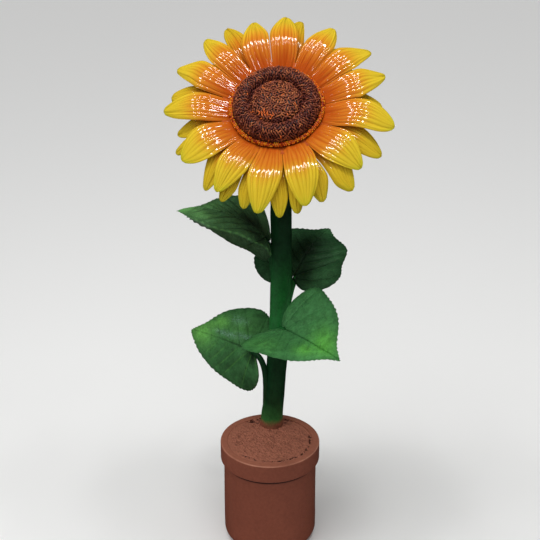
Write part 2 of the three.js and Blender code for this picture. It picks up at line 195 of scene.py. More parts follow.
def encloses(points, faces):
    """The volume inside the faces, positive where they point outwards."""
    a, b, c, d = (points[faces[:, i]] for i in range(4))
    halves = np.einsum("ij,ij->i", a, np.cross(b, c)) + np.einsum("ij,ij->i", a, np.cross(c, d))
    return halves.sum() / 6


def add_object(name, data):
    """A new object in the scene, at the origin."""
    made = bpy.data.objects.new(name, data)
    bpy.context.scene.collection.objects.link(made)
    return made


def add_piece(name, points, faces, slot, material, stands_for=(), **values):
    """A mesh object from millimetre points, riding on the plant's one body. Extra arrays
    become attributes that its material can read."""
    points = points.reshape(-1, 3) * MM
    if encloses(points, faces) < 0:
        faces = faces[:, ::-1]
    mesh = bpy.data.meshes.new(name)
    mesh.from_pydata(points.tolist(), [], faces.tolist())
    mesh.polygons.foreach_set("use_smooth", np.ones(len(faces), bool))
    for key, value in values.items():
        attribute = mesh.attributes.new(key, "FLOAT", "POINT")
        attribute.data.foreach_set("value", np.ascontiguousarray(value, np.float32).ravel())
    mesh.materials.append(material)
    mesh.update()
    piece = add_object(name, mesh)
    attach(piece, "root")
    if stands_for:
        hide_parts(*stands_for)


def add_loft(name, rings, *details, **values):
    """A piece from a stack of rings."""
    add_piece(name, rings, loft_faces(*rings.shape[:2]), *details, **values)


def add_slab(name, sheet, *details, **values):
    """A piece from the front and the back of a sheet."""
    add_piece(name, sheet, slab_faces(*sheet.shape[1:3]), *details, **values)


def add_copies(name, copies, one, *details):
    """One piece from many small shapes, which all have the faces of the one."""
    first = copies[0][..., 0].size * np.arange(len(copies))
    add_piece(name, copies, (one + first[:, None, None]).reshape(-1, 4), *details)


def both_sides(**values):
    """The values of a sheet's points, the same on its front and on its back."""
    grids = np.broadcast_arrays(*values.values())
    return {key: np.stack([grid, grid]) for key, grid in zip(values, grids)}


print("faces of a 4-ring, 8-sided loft:", len(loft_faces(4, 8)))

# %% [markdown]
# ## Writing materials in code
# A node tree is easier to read as nested calls, so a few helpers add a node, fill its inputs and
# hand on its output. An input that is another node's socket gets linked, and anything else is set
# on the socket.

# %% Node helper


def fill(tree, socket, value):
    """Links a socket to another node's, or sets a plain value on it."""
    if isinstance(value, bpy.types.NodeSocket):
        tree.links.new(value, socket)
    else:
        socket.default_value = value


def node(tree, kind, inputs=None, **settings):
    """Adds a node of that kind and fills its settings and inputs."""
    made = tree.nodes.new("ShaderNode" + kind)
    for key, value in settings.items():
        setattr(made, key, value)
    for key, value in (inputs or {}).items():
        fill(tree, made.inputs[key], value)
    return made


def calc(tree, operation, *values, **settings):
    """One step of arithmetic, such as MULTIPLY, on sockets or numbers."""
    return node(tree, "Math", dict(enumerate(values)), operation=operation, **settings).outputs[0]


def noise(tree, vector, scale, detail=2.0, **inputs):
    """Soft random clouds round 0.5, about `scale` of them to a unit of the vector."""
    clouds = node(tree, "TexNoise", {"Vector": vector, "Scale": scale, "Detail": detail, **inputs})
    return clouds.outputs["Fac"]


def between(tree, value, low, high):
    """A smooth 0 to 1 as `value` goes from low to high."""
    ramp = node(tree, "MapRange", {"Value": value, "From Min": low, "From Max": high},
                interpolation_type="SMOOTHSTEP")
    return ramp.outputs["Result"]


def blend(tree, share, under, over):
    """`over` laid on `under` where `share` is 1."""
    mix = node(tree, "Mix", {"Factor": share}, data_type="RGBA")
    fill(tree, mix.inputs[6], under)
    fill(tree, mix.inputs[7], over)
    return mix.outputs[2]


def reads(tree, name):
    """The value of one of the mesh's own attributes."""
    return node(tree, "Attribute", attribute_name=name).outputs["Fac"]


def own_place(tree):
    """Where a point of the piece is, in metres."""
    return node(tree, "TexCoord").outputs["Object"]


def colour(red, green, blue):
    """A colour from 0 to 255 as screens count, as the linear numbers that a shader takes."""
    screen = np.array([red, green, blue]) / 255
    linear = np.where(screen <= 0.04045, screen / 12.92, ((screen + 0.055) / 1.055) ** 2.4)
    return (*linear.tolist(), 1.0)


def paint(name, roughness, sheen, more=()):
    """A new material, its node tree and its Principled shader, with how rough it is, how
    much it mirrors, and more of the shader's inputs."""
    material = bpy.data.materials.new(name)
    material.use_nodes = True
    shader = material.node_tree.nodes["Principled BSDF"]
    for key, value in {"Roughness": roughness, "Specular IOR Level": sheen, **dict(more)}.items():
        shader.inputs[key].default_value = value
    return material, material.node_tree, shader


print("orange in linear numbers:", np.round(colour(215, 120, 30), 3))

# %% [markdown]
# ## Two effects that many finishes share
# Everything on this piece was sprayed or brushed by hand on a rough casting, so two effects turn
# up again and again. *Cast grain* is the fine pitting of the resin: it darkens the paint in the
# pits and gives a height for the bump. *Airbrush* lays one colour over another with a soft edge
# that breaks up into fine droplets. Each is a node group, built once and given its own values in
# each material.

# %% Shared node groups
DROPS_PER_METRE = 420.0


def new_group(name, inputs, outputs):
    """An empty shader node group with named sockets, what it is given, and its result."""
    group = bpy.data.node_groups.new(name, "ShaderNodeTree")
    for side, sockets in (("INPUT", inputs), ("OUTPUT", outputs)):
        for label, kind in sockets.items():
            group.interface.new_socket(label, in_out=side, socket_type="NodeSocket" + kind)
    given, result = group.nodes.new("NodeGroupInput"), group.nodes.new("NodeGroupOutput")
    return group, given.outputs, result.inputs


def cast_grain_group():
    """Pits of one size and lumps five times as large; their mean is the height."""
    group, given, result = new_group(
        "Cast grain",
        {"Vector": "Vector", "Colour": "Color", "Pits per metre": "Float", "Darkening": "Float"},
        {"Colour": "Color", "Height": "Float"},
    )
    pits = noise(group, given["Vector"], given["Pits per metre"], 3.0)
    wide = noise(group, given["Vector"], calc(group, "MULTIPLY", given["Pits per metre"], 0.2))
    height = calc(group, "MULTIPLY", calc(group, "ADD", pits, wide), 0.5)
    pitted = node(group, "MapRange", {"Value": height, "From Min": 0.6, "From Max": 0.35})
    amount = calc(group, "MULTIPLY", pitted.outputs[0], given["Darkening"])
    dark = blend(group, amount, given["Colour"], (0.0, 0.0, 0.0, 1.0))
    group.links.new(dark, result["Colour"])
    group.links.new(height, result["Height"])
    return group


def airbrush_group():
    """The mask chooses between two colours. Where it is neither 0 nor 1, fine noise is added
    to it in the amount 4 * mask * (1 - mask), which breaks the soft edge up into drops."""
    group, given, result = new_group(
        "Airbrush",
        {"Vector": "Vector", "Under": "Color", "Over": "Color", "Mask": "Float", "Drops": "Float"},
        {"Colour": "Color"},
    )
    drops = calc(group, "SUBTRACT", noise(group, given["Vector"], DROPS_PER_METRE), 0.5)
    spread = calc(group, "MULTIPLY", drops, given["Drops"])
    at_edge = calc(group, "MULTIPLY", calc(group, "MULTIPLY", 4.0, given["Mask"]),
                   calc(group, "SUBTRACT", 1.0, given["Mask"]))
    share = calc(group, "MULTIPLY_ADD", spread, at_edge, given["Mask"], use_clamp=True)
    group.links.new(blend(group, share, given["Under"], given["Over"]), result["Colour"])
    return group


CAST_GRAIN = cast_grain_group()
AIRBRUSH = airbrush_group()


def use_group(tree, group, **inputs):
    """A shared group in a material, with its own values."""
    placed = node(tree, "Group", node_tree=group)
    for key, value in inputs.items():
        fill(tree, placed.inputs[key.replace("_", " ")], value)
    return placed.outputs


def roughen(tree, shader, height, distance, strength=1.0):
    """A bump of that many metres from a height that runs from 0 to 1."""
    bump = node(tree, "Bump", {"Height": height, "Distance": distance, "Strength": strength})
    tree.links.new(bump.outputs["Normal"], shader.inputs["Normal"])


def cast_finish(tree, shader, coloured, pits_per_metre, darkening, depth=0):
    """The end of most paints: the cast grain over the colour, and its bump in metres."""
    grain = use_group(tree, CAST_GRAIN, Vector=own_place(tree), Colour=coloured,
                      Pits_per_metre=pits_per_metre, Darkening=darkening)
    tree.links.new(grain["Colour"], shader.inputs["Base Color"])
    if depth:
        roughen(tree, shader, grain["Height"], depth)


print("groups:", [group.name for group in (CAST_GRAIN, AIRBRUSH)])

# %% [markdown]
# ## The pot
# The pot is a plain cylinder with a heavier band at the top and a rounded foot, in one matt
# terracotta brown. A turned shape is a profile carried around an axis. The profile comes from the
# CAD node's own box and a few steps, with a fine rounding where the CAD has facets, and the
# casting's slight unevenness is added to the radius. Three values go with every point for the paint
# to follow: painted light that makes the level top paler, a painted highlight along the rim's outer
# edge, and a painted shadow in a dark line under the band.

# %% Pot
POT_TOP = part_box("pot")[1] / MM
POT_HEIGHT, RIM_RADIUS = POT_TOP.z, POT_TOP.x
RIM_HEIGHT, RIM_ROUND, RIM_BEVEL = 34, 2.6, 1
BODY_RADIUS, FOOT_ROUND = RIM_RADIUS - 6, 20
NECK_DEPTH = 1.2  # how far the wall draws in right under the band
MOUTH_RADIUS, WELL_DEPTH = RIM_RADIUS - 13, 40
AXIS_HOLE = 0.5  # a turned piece's first and last ring, which its lids close
# Besides the unevenness: how strong the painted light on the level top is, and how strong the
# painted highlight along the rim's edge is.
UNEVENNESS, TOP_LIGHT, EDGE_HIGHLIGHT = 0.35, 0.8, 1.1  # in mm, and how strong the paint effects are
EDGE_INSET = 0.8  # the painted highlight line lies this far inside the rim's outer corner
SHADOW_LINE, SHADOW_WIDTH = 4.9, 1.7  # the painted shadow under the band: how far under the band it is darkest, and how wide


def line(start, end, count):
    """Points on a straight stretch of a profile, its end left for the next stretch."""
    return np.linspace(start, end, count, endpoint=False)


def arc(radius, height, size, start, count, sweep=90):
    """A round stretch of a profile: its centre, its size, and its angles in degrees."""
    angle = np.radians(start + np.linspace(0, sweep, count))
    return np.stack([radius + size * np.cos(angle), height + size * np.sin(angle)], axis=-1)


def turned(profile, sides):
    """A profile of (radius, height) pairs carried around +Z, as a stack of rings."""
    return around_axis(profile[:, :1], full_turn(sides), profile[:, 1:])


def pot_profile():
    """From the middle of the underside up the outside, over the rim and down the well."""
    band, well_floor = POT_HEIGHT - RIM_HEIGHT, POT_HEIGHT - WELL_DEPTH
    neck = BODY_RADIUS - NECK_DEPTH
    return np.vstack([
        line((AXIS_HOLE, 0), (BODY_RADIUS - FOOT_ROUND, 0), 12),
        arc(BODY_RADIUS - FOOT_ROUND, FOOT_ROUND, FOOT_ROUND, -90, 14),
        line((BODY_RADIUS, FOOT_ROUND + 4), (BODY_RADIUS, band - 10), 30),
        line((BODY_RADIUS, band - 10), (BODY_RADIUS, band - 3), 14),
        line((BODY_RADIUS, band - 3), (neck, band - 1.5), 3),
        line((neck, band - 1.5), (neck, band), 3),
        line((neck, band), (RIM_RADIUS - RIM_BEVEL, band), 5),
        arc(RIM_RADIUS - RIM_BEVEL, band + RIM_BEVEL, RIM_BEVEL, -90, 6),
        line((RIM_RADIUS, band + RIM_BEVEL + 2), (RIM_RADIUS, POT_HEIGHT - RIM_ROUND), 10),
        arc(RIM_RADIUS - RIM_ROUND, POT_HEIGHT - RIM_ROUND, RIM_ROUND, 0, 9),
        line((RIM_RADIUS - RIM_ROUND - 1, POT_HEIGHT), (MOUTH_RADIUS + RIM_BEVEL, POT_HEIGHT), 4),
        arc(MOUTH_RADIUS + RIM_BEVEL, POT_HEIGHT - RIM_BEVEL, RIM_BEVEL, 90, 5),
        line((MOUTH_RADIUS, POT_HEIGHT - 4), (MOUTH_RADIUS, well_floor), 8),
        line((MOUTH_RADIUS, well_floor), (AXIS_HOLE, well_floor), 8),
    ])


def terracotta(name, shade, light, pit_depth):
    """Matt brown paint: broad clouds of two shades, then painted light on level tops, painted
    highlights on edges and crumbs, and painted shade under the band and in pits, each where the
    mesh's own value says, and the cast grain over all."""
    material, tree, shader = paint(name, 0.55, 0.2)
    clouds = between(tree, noise(tree, own_place(tree), 9.0), 0.35, 0.7)
    painted = blend(tree, clouds, shade, light)
    # Painted light on the level top, painted highlights on the rim's edge and the soil's crumbs,
    # and painted shade under the band and in the soil's pits.
    for value, tint in (("top", colour(172, 107, 85)), ("edge", colour(196, 136, 112)),
                        ("crack", colour(44, 22, 18))):
        painted = blend(tree, reads(tree, value), painted, tint)
    cast_finish(tree, shader, painted, 900.0, 0.18, pit_depth)
    return material


pot = turned(pot_profile(), 160)
unevenness = UNEVENNESS * lumps(pot, 38, 3) * smooth_step(pot[..., 2], 2, 20)
pot[..., :2] *= 1 + unevenness[..., None] / RIM_RADIUS
height = pot[..., 2]
from_edge = np.hypot(np.hypot(pot[..., 0], pot[..., 1]) - RIM_RADIUS + EDGE_INSET,
                     height - POT_HEIGHT + EDGE_INSET)
# Painted light on the level top, a painted highlight along the rim's edge, and a painted shadow
# line under the band.
add_loft("pot_cast", pot, "pot",
         terracotta("terracotta paint", colour(125, 66, 48), colour(131, 70, 51), 0.0003), ["pot"],
         top=TOP_LIGHT * smooth_step(height, POT_HEIGHT - 1.3, POT_HEIGHT - 0.3),
         edge=EDGE_HIGHLIGHT * bell(from_edge, 1.0) * (0.6 + 0.4 * lumps(pot, 30, 4)),
         crack=bell(height - POT_HEIGHT + RIM_HEIGHT + SHADOW_LINE, SHADOW_WIDTH))
print("pot rings and sides:", pot.shape[:2])

# %% [markdown]
# ## The soil
# The soil is part of the casting: a gritty plug in the pot's own colour that stands almost level
# with the rim on the left and lower at the back right. Where it meets the rim at the front and
# right it has broken away in a row of pits, and two more places are broken behind the stem. It is a
# turned disc whose rings are close enough for grit of three sizes to be real relief, and a heap is
# left around the stem's foot. Like the rim's top it is painted paler as painted light, the deepest
# places get painted shade, and the highest crumbs are painted pale as painted highlights.

# %% Soil
SOIL_DROP, SOIL_DOME, SOIL_SLOPE = 0.7, 1.0, -0.009
STEM_FOOT = (3, 50)
HEAP_HEIGHT, HEAP_REACH = 7, 25
GRIT = [(5.0, 0.6), (2.6, 1.1), (1.5, 0.7)]  # size of the lumps and how far they rise
PITS = {"ring": 70, "off centre": 2.8, "wander": 1.2, "ragged": 1.6, "depth": 3.6, "width": 2.2}
LEDGE = {"depth": 0.6, "width": 1.2}  # the finer crack that goes on where the pits end
HOLLOWS = [(28, 68, 11), (-26, 66, 13)]  # broken places behind the stem: x, y and reach
HOLLOW_DEPTH = 5


def soil_pits(rings):
    """How deep the soil has broken away: along a ring near the rim that wanders, in the
    finer crack beyond it, and in the hollows."""
    x, y = rings[..., 0], rings[..., 1]
    angle = np.degrees(np.arctan2(y, x))
    wander = (np.hypot(x, y) - PITS["ring"] - PITS["off centre"] * np.cos(np.radians(angle + 10))
              - PITS["wander"] * lumps(rings, 12, 5) - PITS["ragged"] * lumps(rings, 3.4, 12))
    pits = (PITS["depth"] * bell(wander, PITS["width"]) * window(angle, (-150, -120), (5, 20))
            * smooth_step(lumps(rings, 2.4, 6), -0.3, 0.4))
    pits += LEDGE["depth"] * bell(wander, LEDGE["width"]) * window(angle, (0, 15), (65, 80))
    for hollow_x, hollow_y, reach in HOLLOWS:
        broken = smooth_step(lumps(rings, 3.2, 9), -0.45, 0.25)
        pits += HOLLOW_DEPTH * bell(np.hypot(x - hollow_x, y - hollow_y), reach) * broken
    return pits


def soil_rings():
    """A flat plug, then its top raised: a dome, a slope to the back right, the heap and the grit,
    less the pits. With it come how much painted shade lies in each pit and how much painted
    highlight lies on each crumb."""
    edge, top, bottom = MOUTH_RADIUS - 0.1, POT_HEIGHT - SOIL_DROP, POT_HEIGHT - WELL_DEPTH + 1
    rings = turned(np.vstack([
        line((AXIS_HOLE, bottom), (edge, bottom), 4),
        line((edge, bottom), (edge, top - 3), 4),
        line((edge, top - 3), (edge, top), 3),
        line((edge, top), (AXIS_HOLE, top), 100),
    ]), 360)
    x, y, z = np.moveaxis(rings, -1, 0)
    radius = np.hypot(x, y)
    on_top = smooth_step(z, top - 1.5, top)
    slope = SOIL_SLOPE * (x * 0.75 + y * 0.65)
    heap = HEAP_HEIGHT * bell(np.hypot(x - STEM_FOOT[0], y - STEM_FOOT[1]), HEAP_REACH)
    grit = sum(rise * lumps(rings, size, 11) for size, rise in GRIT)
    pits = soil_pits(rings)
    worn = 0.35 + 0.65 * (1 - smooth_step(radius, 60, 74))
    # Painted highlights on the highest crumbs, and painted shade in the pits.
    crumbs_and_glints = on_top * smooth_step(grit - 0.4 * pits, 1.0, 2.0) * 0.7
    cracks = on_top * np.clip(0.9 * smooth_step(pits, 0.6, 2.2) - 0.35 * grit * worn, 0, 1)
    raised = SOIL_DOME * (1 - radius / edge) + slope + heap + grit * worn - pits
    return xyz(x, y, z + on_top * raised), cracks, crumbs_and_glints


soil, cracks, crumbs_and_glints = soil_rings()
# All of the soil takes the pale top paint, painted light on a level surface, with painted shade in
# its pits and painted highlights on its crumbs.
add_loft("soil_cast", soil, "soil",
         terracotta("gritty terracotta", colour(140, 82, 62), colour(150, 90, 68), 0.0008),
         ["soil"], top=np.ones(cracks.shape), edge=crumbs_and_glints, crack=cracks)
print("share of the soil that is cracked:", (cracks > 0.5).mean().round(3))

# %% [markdown]
# ## The stem
# The stem is thicker than a thumb, rises from the back of the soil with a slight lean, and bends
# forward at the top into the flower. It is one smooth curve through the same knots as the CAD's,
# with rings set across it. The airbrush sprayed it in greens, and its darkest bands, at the top
# under the flower and under the leaves, are painted shade; the pot's brown was oversprayed onto its
# foot.

# %% Stem
HEAD_CENTRE = np.array([10.6, 0, 842.7])
HEAD_TILT, HEAD_TURN = np.radians(54.4), np.radians(-7.8)
FACING = np.array([np.sin(HEAD_TURN) * np.cos(HEAD_TILT), -np.cos(HEAD_TURN) * np.cos(HEAD_TILT),
                   np.sin(HEAD_TILT)])
STEM_KNOTS = [(3, 50, 190), (7, 50.5, 256), (14, 51, 360), (18.6, 51, 461), (19.5, 51, 570),
              (18.4, 50, 680)]
STEM_RADIUS, STEM_LENGTH, STEM_FLARE, FLARE_HEIGHT, STEM_LUMPS = 18.4, 690, 22, 27, 0.45
NECK_RADIUS, NECK_STRAIGHT, CALYX_DEPTH = 64, 12, 56
# The low ridge down the left side: where round the stem, and how wide, in degrees.
RIDGE = {"angle": 188, "width": 17, "height": 2.6, "foot": (190, 215), "top": (225, 262)}
STEM_GREENS_AND_SHADE = [(0.20, 0.27, (14, 56, 26)), (0.34, 0.42, (34, 112, 50)), (0.45, 0.58, (16, 54, 28)),
              (0.60, 0.72, (14, 34, 18))]  # where each paint fades in, in metres, and its colour; the dark ones are painted shade under the leaves and the flower


def neck_knots():
    """A quarter-like bend from upright to the flower's axis, then a straight end."""
    end = HEAD_CENTRE - FACING * CALYX_DEPTH
    bend_end = end - FACING * NECK_STRAIGHT
    lean = np.pi / 2 - HEAD_TILT
    angle = lean * np.linspace(0, 1, 4)[:, None]
    back = NECK_RADIUS * (np.cos(angle) - np.cos(lean))
    down = NECK_RADIUS * (np.sin(lean) - np.sin(angle))
    bent = bend_end - back * unit(FACING * [1, 1, 0]) - down * UP
    return [*bent, end - FACING * NECK_STRAIGHT / 2, end]


def rings_along(path, radius):
    """Rings across a path, from the direction nearest to +X and on through +Y. `radius`
    holds one number for each ring and side."""
    ahead = unit(np.gradient(path, axis=0))
    back = unit(np.cross(ahead, [1, 0, 0]))
    right = np.cross(back, ahead)
    angle = full_turn(radius.shape[1])[None, :, None]
    spokes = right[:, None] * np.cos(angle) + back[:, None] * np.sin(angle)
    return path[:, None] + spokes * radius[..., None]


STEM_AXIS = curve_through([*STEM_KNOTS, *neck_knots()], 260)


def stem_rings(sides=96):
    """The flare at the foot falls off as a bell curve; the ridge runs down below the lowest
    stalk; hand modelling leaves shallow lumps."""
    travelled = np.linspace(0, 1, len(STEM_AXIS)) * STEM_LENGTH
    flare = (STEM_FLARE - STEM_RADIUS) * bell(travelled, FLARE_HEIGHT)
    plain = rings_along(STEM_AXIS, np.full((len(STEM_AXIS), sides), STEM_RADIUS))
    beside = bell(np.linspace(0, 360, sides, endpoint=False) - RIDGE["angle"], RIDGE["width"])
    ridge = RIDGE["height"] * beside * window(plain[..., 2], RIDGE["foot"], RIDGE["top"])
    radius = STEM_RADIUS + flare[:, None] + ridge + STEM_LUMPS * lumps(plain, 24, 8)
    return rings_along(STEM_AXIS, radius)


def green_satin(name, sheen=0.3):
    """Satin paint for everything green, and its tree and shader."""
    return paint(name, 0.37, sheen)


def stem_paint():
    """Greens sprayed at different heights, with painted shade in the dark bands under the leaves
    and the flower, then the brown overspray at the foot.
    """
    material, tree, shader = green_satin("stem paint")
    spot = own_place(tree)
    wobble = calc(tree, "MULTIPLY_ADD", noise(tree, spot, 30.0), 0.03, -0.015)
    height = calc(tree, "ADD", node(tree, "SeparateXYZ", {0: spot}).outputs["Z"], wobble)
    painted = colour(48, 112, 52)
    # The dark bands are painted shade under the leaves and under the flower.
    for low, high, tint in STEM_GREENS_AND_SHADE:
        painted = blend(tree, between(tree, height, low, high), painted, colour(*tint))
    brown = use_group(tree, AIRBRUSH, Vector=spot, Under=painted, Over=colour(138, 82, 62),
                      Mask=between(tree, height, 0.222, 0.205), Drops=0.9)
    cast_finish(tree, shader, brown["Colour"], 260.0, 0.4, 0.001)
    return material


stem_green = stem_paint()
add_loft("stem_cast", stem_rings(), "stem", stem_green, ["stem"])
print("stem top:", STEM_AXIS[-1].round(1))

# %% [markdown]
# ## The leaves and their stalks
# Four heart-shaped leaves grow from the stem on curved stalks. They are one design four times, so
# everything that differs between them is kept in a table: where the leaf is and how it hangs,
# twelve numbers that push its edge in and out, and the places of its paint, with the spots of
# painted shade.

# %% Leaf sizes
# Lengths are in mm and angles in degrees. Two numbers in a pair are for the left half and the right
# half. "stalk" is its height on the stem, its direction round it and its swing; "edge" goes round
# from the notch. Each soft spot of paint is (along, across, reach, breadth, strength); the "shade"
# spots are painted shade.
LEAF = {"thickness": 3.6, "tip thinning": 0.4, "centre": 0.39, "notch depth": 0.2,
        "notch width": 0.38, "tip sharpness": 1.62, "lobe fullness": 0.3}
FAN_START, FAN_WIDEST = 0.05, np.pi - 0.1
LEAVES = {
    "lower_right": {
        "base": (23, -3, 431), "length": 170, "half_width": (90, 90),
        "heading": -58, "pitch": 10, "droop": 7, "roll": 28,
        "fold": (22, 21), "curl": (0, -12), "stalk": (362, -78, 70),
        "edge": (0.87, 1.02, 1.17, 1, 1.04, 0.97, 1.03, 0.95, 0.99, 0.94, 1.04, 1),
        "glow": ((0.72, 0.1, 0.22, 0.32, 0.9), (0.62, -0.25, 0.14, 0.22, 0.8),
                 (0.22, -0.75, 0.25, 0.35, 0.3)),
        "shade": ((0, 0, 0.06, 0.12, 0.5),),
    },
    "lower_left": {
        "base": (-31, 62, 350), "length": 165, "half_width": (90, 92),
        "heading": 136, "pitch": -3, "droop": 5, "roll": -54,
        "fold": (-15, -13), "curl": (42, 35), "stalk": (222, 186, 96),
        "stalk spread": 0.1, "pale veins": 0.3, "vein depth": 1.3,
        "edge": (0.85, 0.93, 0.84, 0.97, 0.99, 0.92, 0.99, 1.01, 1.02, 0.98, 1.09, 1.17),
        "glow": ((0.84, -0.02, 0.2, 0.28, 1), (0.74, -0.17, 0.13, 0.16, 0.85),
                 (0.64, -0.33, 0.13, 0.18, 0.85), (0.36, -0.35, 0.25, 0.3, 0.25)),
        "shade": ((-0.02, 0.05, 0.12, 0.25, 1), (0.05, 0.75, 0.2, 0.35, 0.6),
                  (0.3, 0.5, 0.3, 0.35, 0.4)),
        "scuff": ((0.45, -0.13, 0.2, 0.05, 1), (0.2, -0.2, 0.15, 0.06, 1),
                  (0.42, -0.5, 0.12, 0.1, 0.8)),
    },
    "upper_right": {
        "base": (42, 76, 491), "length": 161, "half_width": (90, 75),
        "heading": 63, "pitch": 33, "droop": 40, "roll": 14,
        "fold": (-19, -21), "curl": (-24, -50), "stalk": (440, 20, 62),
        "stalk end": (12, 9), "vein depth": 1.6,
        "edge": (0.7, 0.86, 1.1, 0.95, 1.08, 0.98, 0.99, 0.95, 1.02, 0.8, 1.03, 1.11),
        "glow": ((0.57, -0.75, 0.2, 0.25, 0.6), (0.2, -0.75, 0.22, 0.35, 0.55),
                 (0.92, -0.05, 0.12, 0.25, 0.7)),
        "shade": ((0.45, 0.1, 0.35, 0.35, 0.9), (0.15, -0.15, 0.2, 0.25, 0.8)),
    },
    "upper_left": {
        "base": (-10, 44, 585), "length": 164, "half_width": (80, 89),
        "heading": 173, "pitch": 48, "droop": 63, "roll": 12,
        "fold": (-6, -2), "curl": (20, -20), "stalk": (512, 190, 62),
        "vein depth": 1.8,
        "edge": (1.06, 1.1, 1.3, 1.1, 0.97, 0.88, 1.01, 1.03, 1.07, 0.99, 0.95, 1.33),
        "glow": ((0.93, 0.05, 0.14, 0.3, 1), (0.7, -0.3, 0.16, 0.3, 0.45),
                 (0.75, 0.4, 0.15, 0.2, 0.5)),
        "shade": ((0.2, -0.2, 0.25, 0.45, 1), (0.1, 0.3, 0.2, 0.3, 0.9)),
        "hem": ((-0.1, 0.4), (0.01, 0.5), (0.22, 0.69), (0.38, 0.79), (0.6, 0.8),
                (0.73, 0.65), (0.9, 0.42)),
    },
}
NOWHERE = ((0, 0, 1, 1, 0),)
# Side veins: where each leaves the midrib, its first slope towards the tip, and its bend.
VEINS = [(-0.01, -0.34, 0.2), (0.0, 0.1, 0.12), (0.04, 0.5, 0.08), (0.2, 0.46, 0.16),
         (0.36, 0.44, 0.24), (0.52, 0.42, 0.34), (0.66, 0.42, 0.5), (0.79, 0.4, 0.8)]
MIDRIB_DEPTH, MIDRIB_WIDTH, VEIN_WIDTH = 1.6, 1.5, 1.4
SWELL_HEIGHT, SWELL_REACH = 2.2, 8
LEAF_LUMPS = [(0.6, 16), (0.35, 5)]  # how far they rise, and their size
TOOTH_SIZE, TOOTH_STEP = 0.013, 0.95
HEM_DROP, PINCH_WIDTH, PINCHES = 6, 0.03, 85
print("leaves:", list(LEAVES))

# %% [markdown]
# A blade is drawn as a fan: every point has a direction from the stalk, which sweeps around the
# heart, and a share of the way out to its edge. The flat leaf is then bent along its midrib,
# folded and curled across it, and rolled. All four steps are formulas on whole arrays, so the
# leaf can be as fine as it needs to be and the numbers stay easy to change.

# %% Leaf shape


def heart(turn):
    """The outline as (along, across): a circle squeezed to a point at turn 0, with fuller
    lobes behind and a notch at turn 180."""
    notch = LEAF["notch depth"] * bell(np.pi - np.abs(turn), LEAF["notch width"])
    along = LEAF["centre"] + (1 - LEAF["centre"]) * np.cos(turn) + notch
    fullness = 1 - LEAF["lobe fullness"] * np.cos(turn)
    across = np.sign(turn) * np.abs(np.sin(turn)) ** LEAF["tip sharpness"] * fullness
    return along, across


def edge_reach(leaf, turn):
    """A leaf's own outline next to the plain heart's: a smooth closed curve through its even
    values, each piece a cubic set by the two values on either side."""
    values = np.array(leaf["edge"])
    spot = (turn / (2 * np.pi) + 0.5) * len(values)
    before = np.floor(spot).astype(int)
    part = spot - before
    a, b, c, d = (values[(before + k) % len(values)] for k in (-1, 0, 1, 2))
    bow = 2 * a - 5 * b + 4 * c - d + part * (3 * (b - c) + d - a)
    return b + part * (c - a + part * bow) / 2


def bend(angle, turn_down, distance):
    """How far along and up a line gets that starts at an angle and turns down evenly."""
    turn_down = turn_down + 1e-6
    end = angle - turn_down * distance
    return (np.sin(angle) - np.sin(end)) / turn_down, (np.cos(end) - np.cos(angle)) / turn_down


def leaf_directions(leaf):
    """Level along the leaf's heading, and level to its left."""
    forward = around_axis(1, np.radians(leaf["heading"]), 0)
    return forward, np.array([-forward[1], forward[0], 0])


def bent_leaf(leaf, along, across):
    """The flat place (along, across) on the bent, folded, curled and rolled blade."""
    fold, curl, width = (np.where(across > 0, *leaf[key]) for key in ("fold", "curl", "half_width"))
    run, rise = bend(np.radians(leaf["pitch"]), np.radians(leaf["droop"]), along)
    out, lift = bend(np.radians(fold), np.radians(curl), np.abs(across))
    slope = np.radians(leaf["pitch"] - leaf["droop"] * along)
    roll = np.radians(leaf["roll"])
    beside, above = np.sign(across) * out * width, lift * width
    sideways = beside * np.cos(roll) - above * np.sin(roll)
    outward = beside * np.sin(roll) + above * np.cos(roll)
    forward, left = leaf_directions(leaf)
    return (np.array(leaf["base"])
            + (run * leaf["length"] - outward * np.sin(slope))[..., None] * forward
            + sideways[..., None] * left
            + (rise * leaf["length"] + outward * np.cos(slope))[..., None] * UP)


print("half way round the heart:", np.round(heart(np.pi / 2), 2))

# %% [markdown]
# The relief is put on last, along the surface's own normal: sunken veins with the flesh swelling
# between them, a finely toothed edge and, on the upper left leaf, a hem that is turned down and
# pinched. The paint will follow values that go with every point: how near a vein is, where the
# airbrush made the leaf brighter, where painted shade makes it darker, where veins stay pale, and
# where paint is scuffed. The hem gets painted shade on its turned-down strip and painted highlights
# on its pinches.

# %% Leaf relief


def vein_distance(leaf, along, across):
    """Millimetres on the flat leaf to the midrib, and to the nearest side vein, which runs
    along = start + slope * x + bend * x^2 at x across."""
    width = np.mean(leaf["half_width"])
    x = np.abs(across)
    side = np.full(along.shape, np.inf)
    for start, slope, arch in VEINS:
        steepness = (slope + 2 * arch * x) * leaf["length"] / width
        gap = np.abs(along - start - slope * x - arch * x * x) * leaf["length"]
        side = np.minimum(side, gap / np.sqrt(1 + steepness ** 2))
    return x * width, side


def sprayed(spots, along, across):
    """The strongest of some soft oval spots of paint."""
    return np.max([strength * np.exp(-((along - a) / reach) ** 2 - ((across - c) / breadth) ** 2)
                   for a, c, reach, breadth, strength in spots], axis=0)


def lumps_along(value, size, seed):
    """The random lumps along a single number."""
    return lumps(xyz(value, value, value), size, seed)


def hemmed(leaf, along, across, relief, glow, shade):
    """The same with the hem turned down past its line, in short pinches that are painted pale as
    highlights, and with painted shade on the strip past the line.
    """
    past = across - np.interp(along, *np.array(leaf["hem"]).T)
    pinch = bell(past, PINCH_WIDTH) * (0.55 + 0.45 * np.sin(along * PINCHES))
    # The pinches get painted highlights, and the turned-down strip gets painted shade.
    return (relief + pinch - HEM_DROP * smooth_step(past, 0, 0.25),
            np.maximum(glow * (1 - smooth_step(past, 0, 0.05)), 0.5 * pinch),
            np.maximum(shade, 0.7 * smooth_step(past, 0.02, 0.07)))


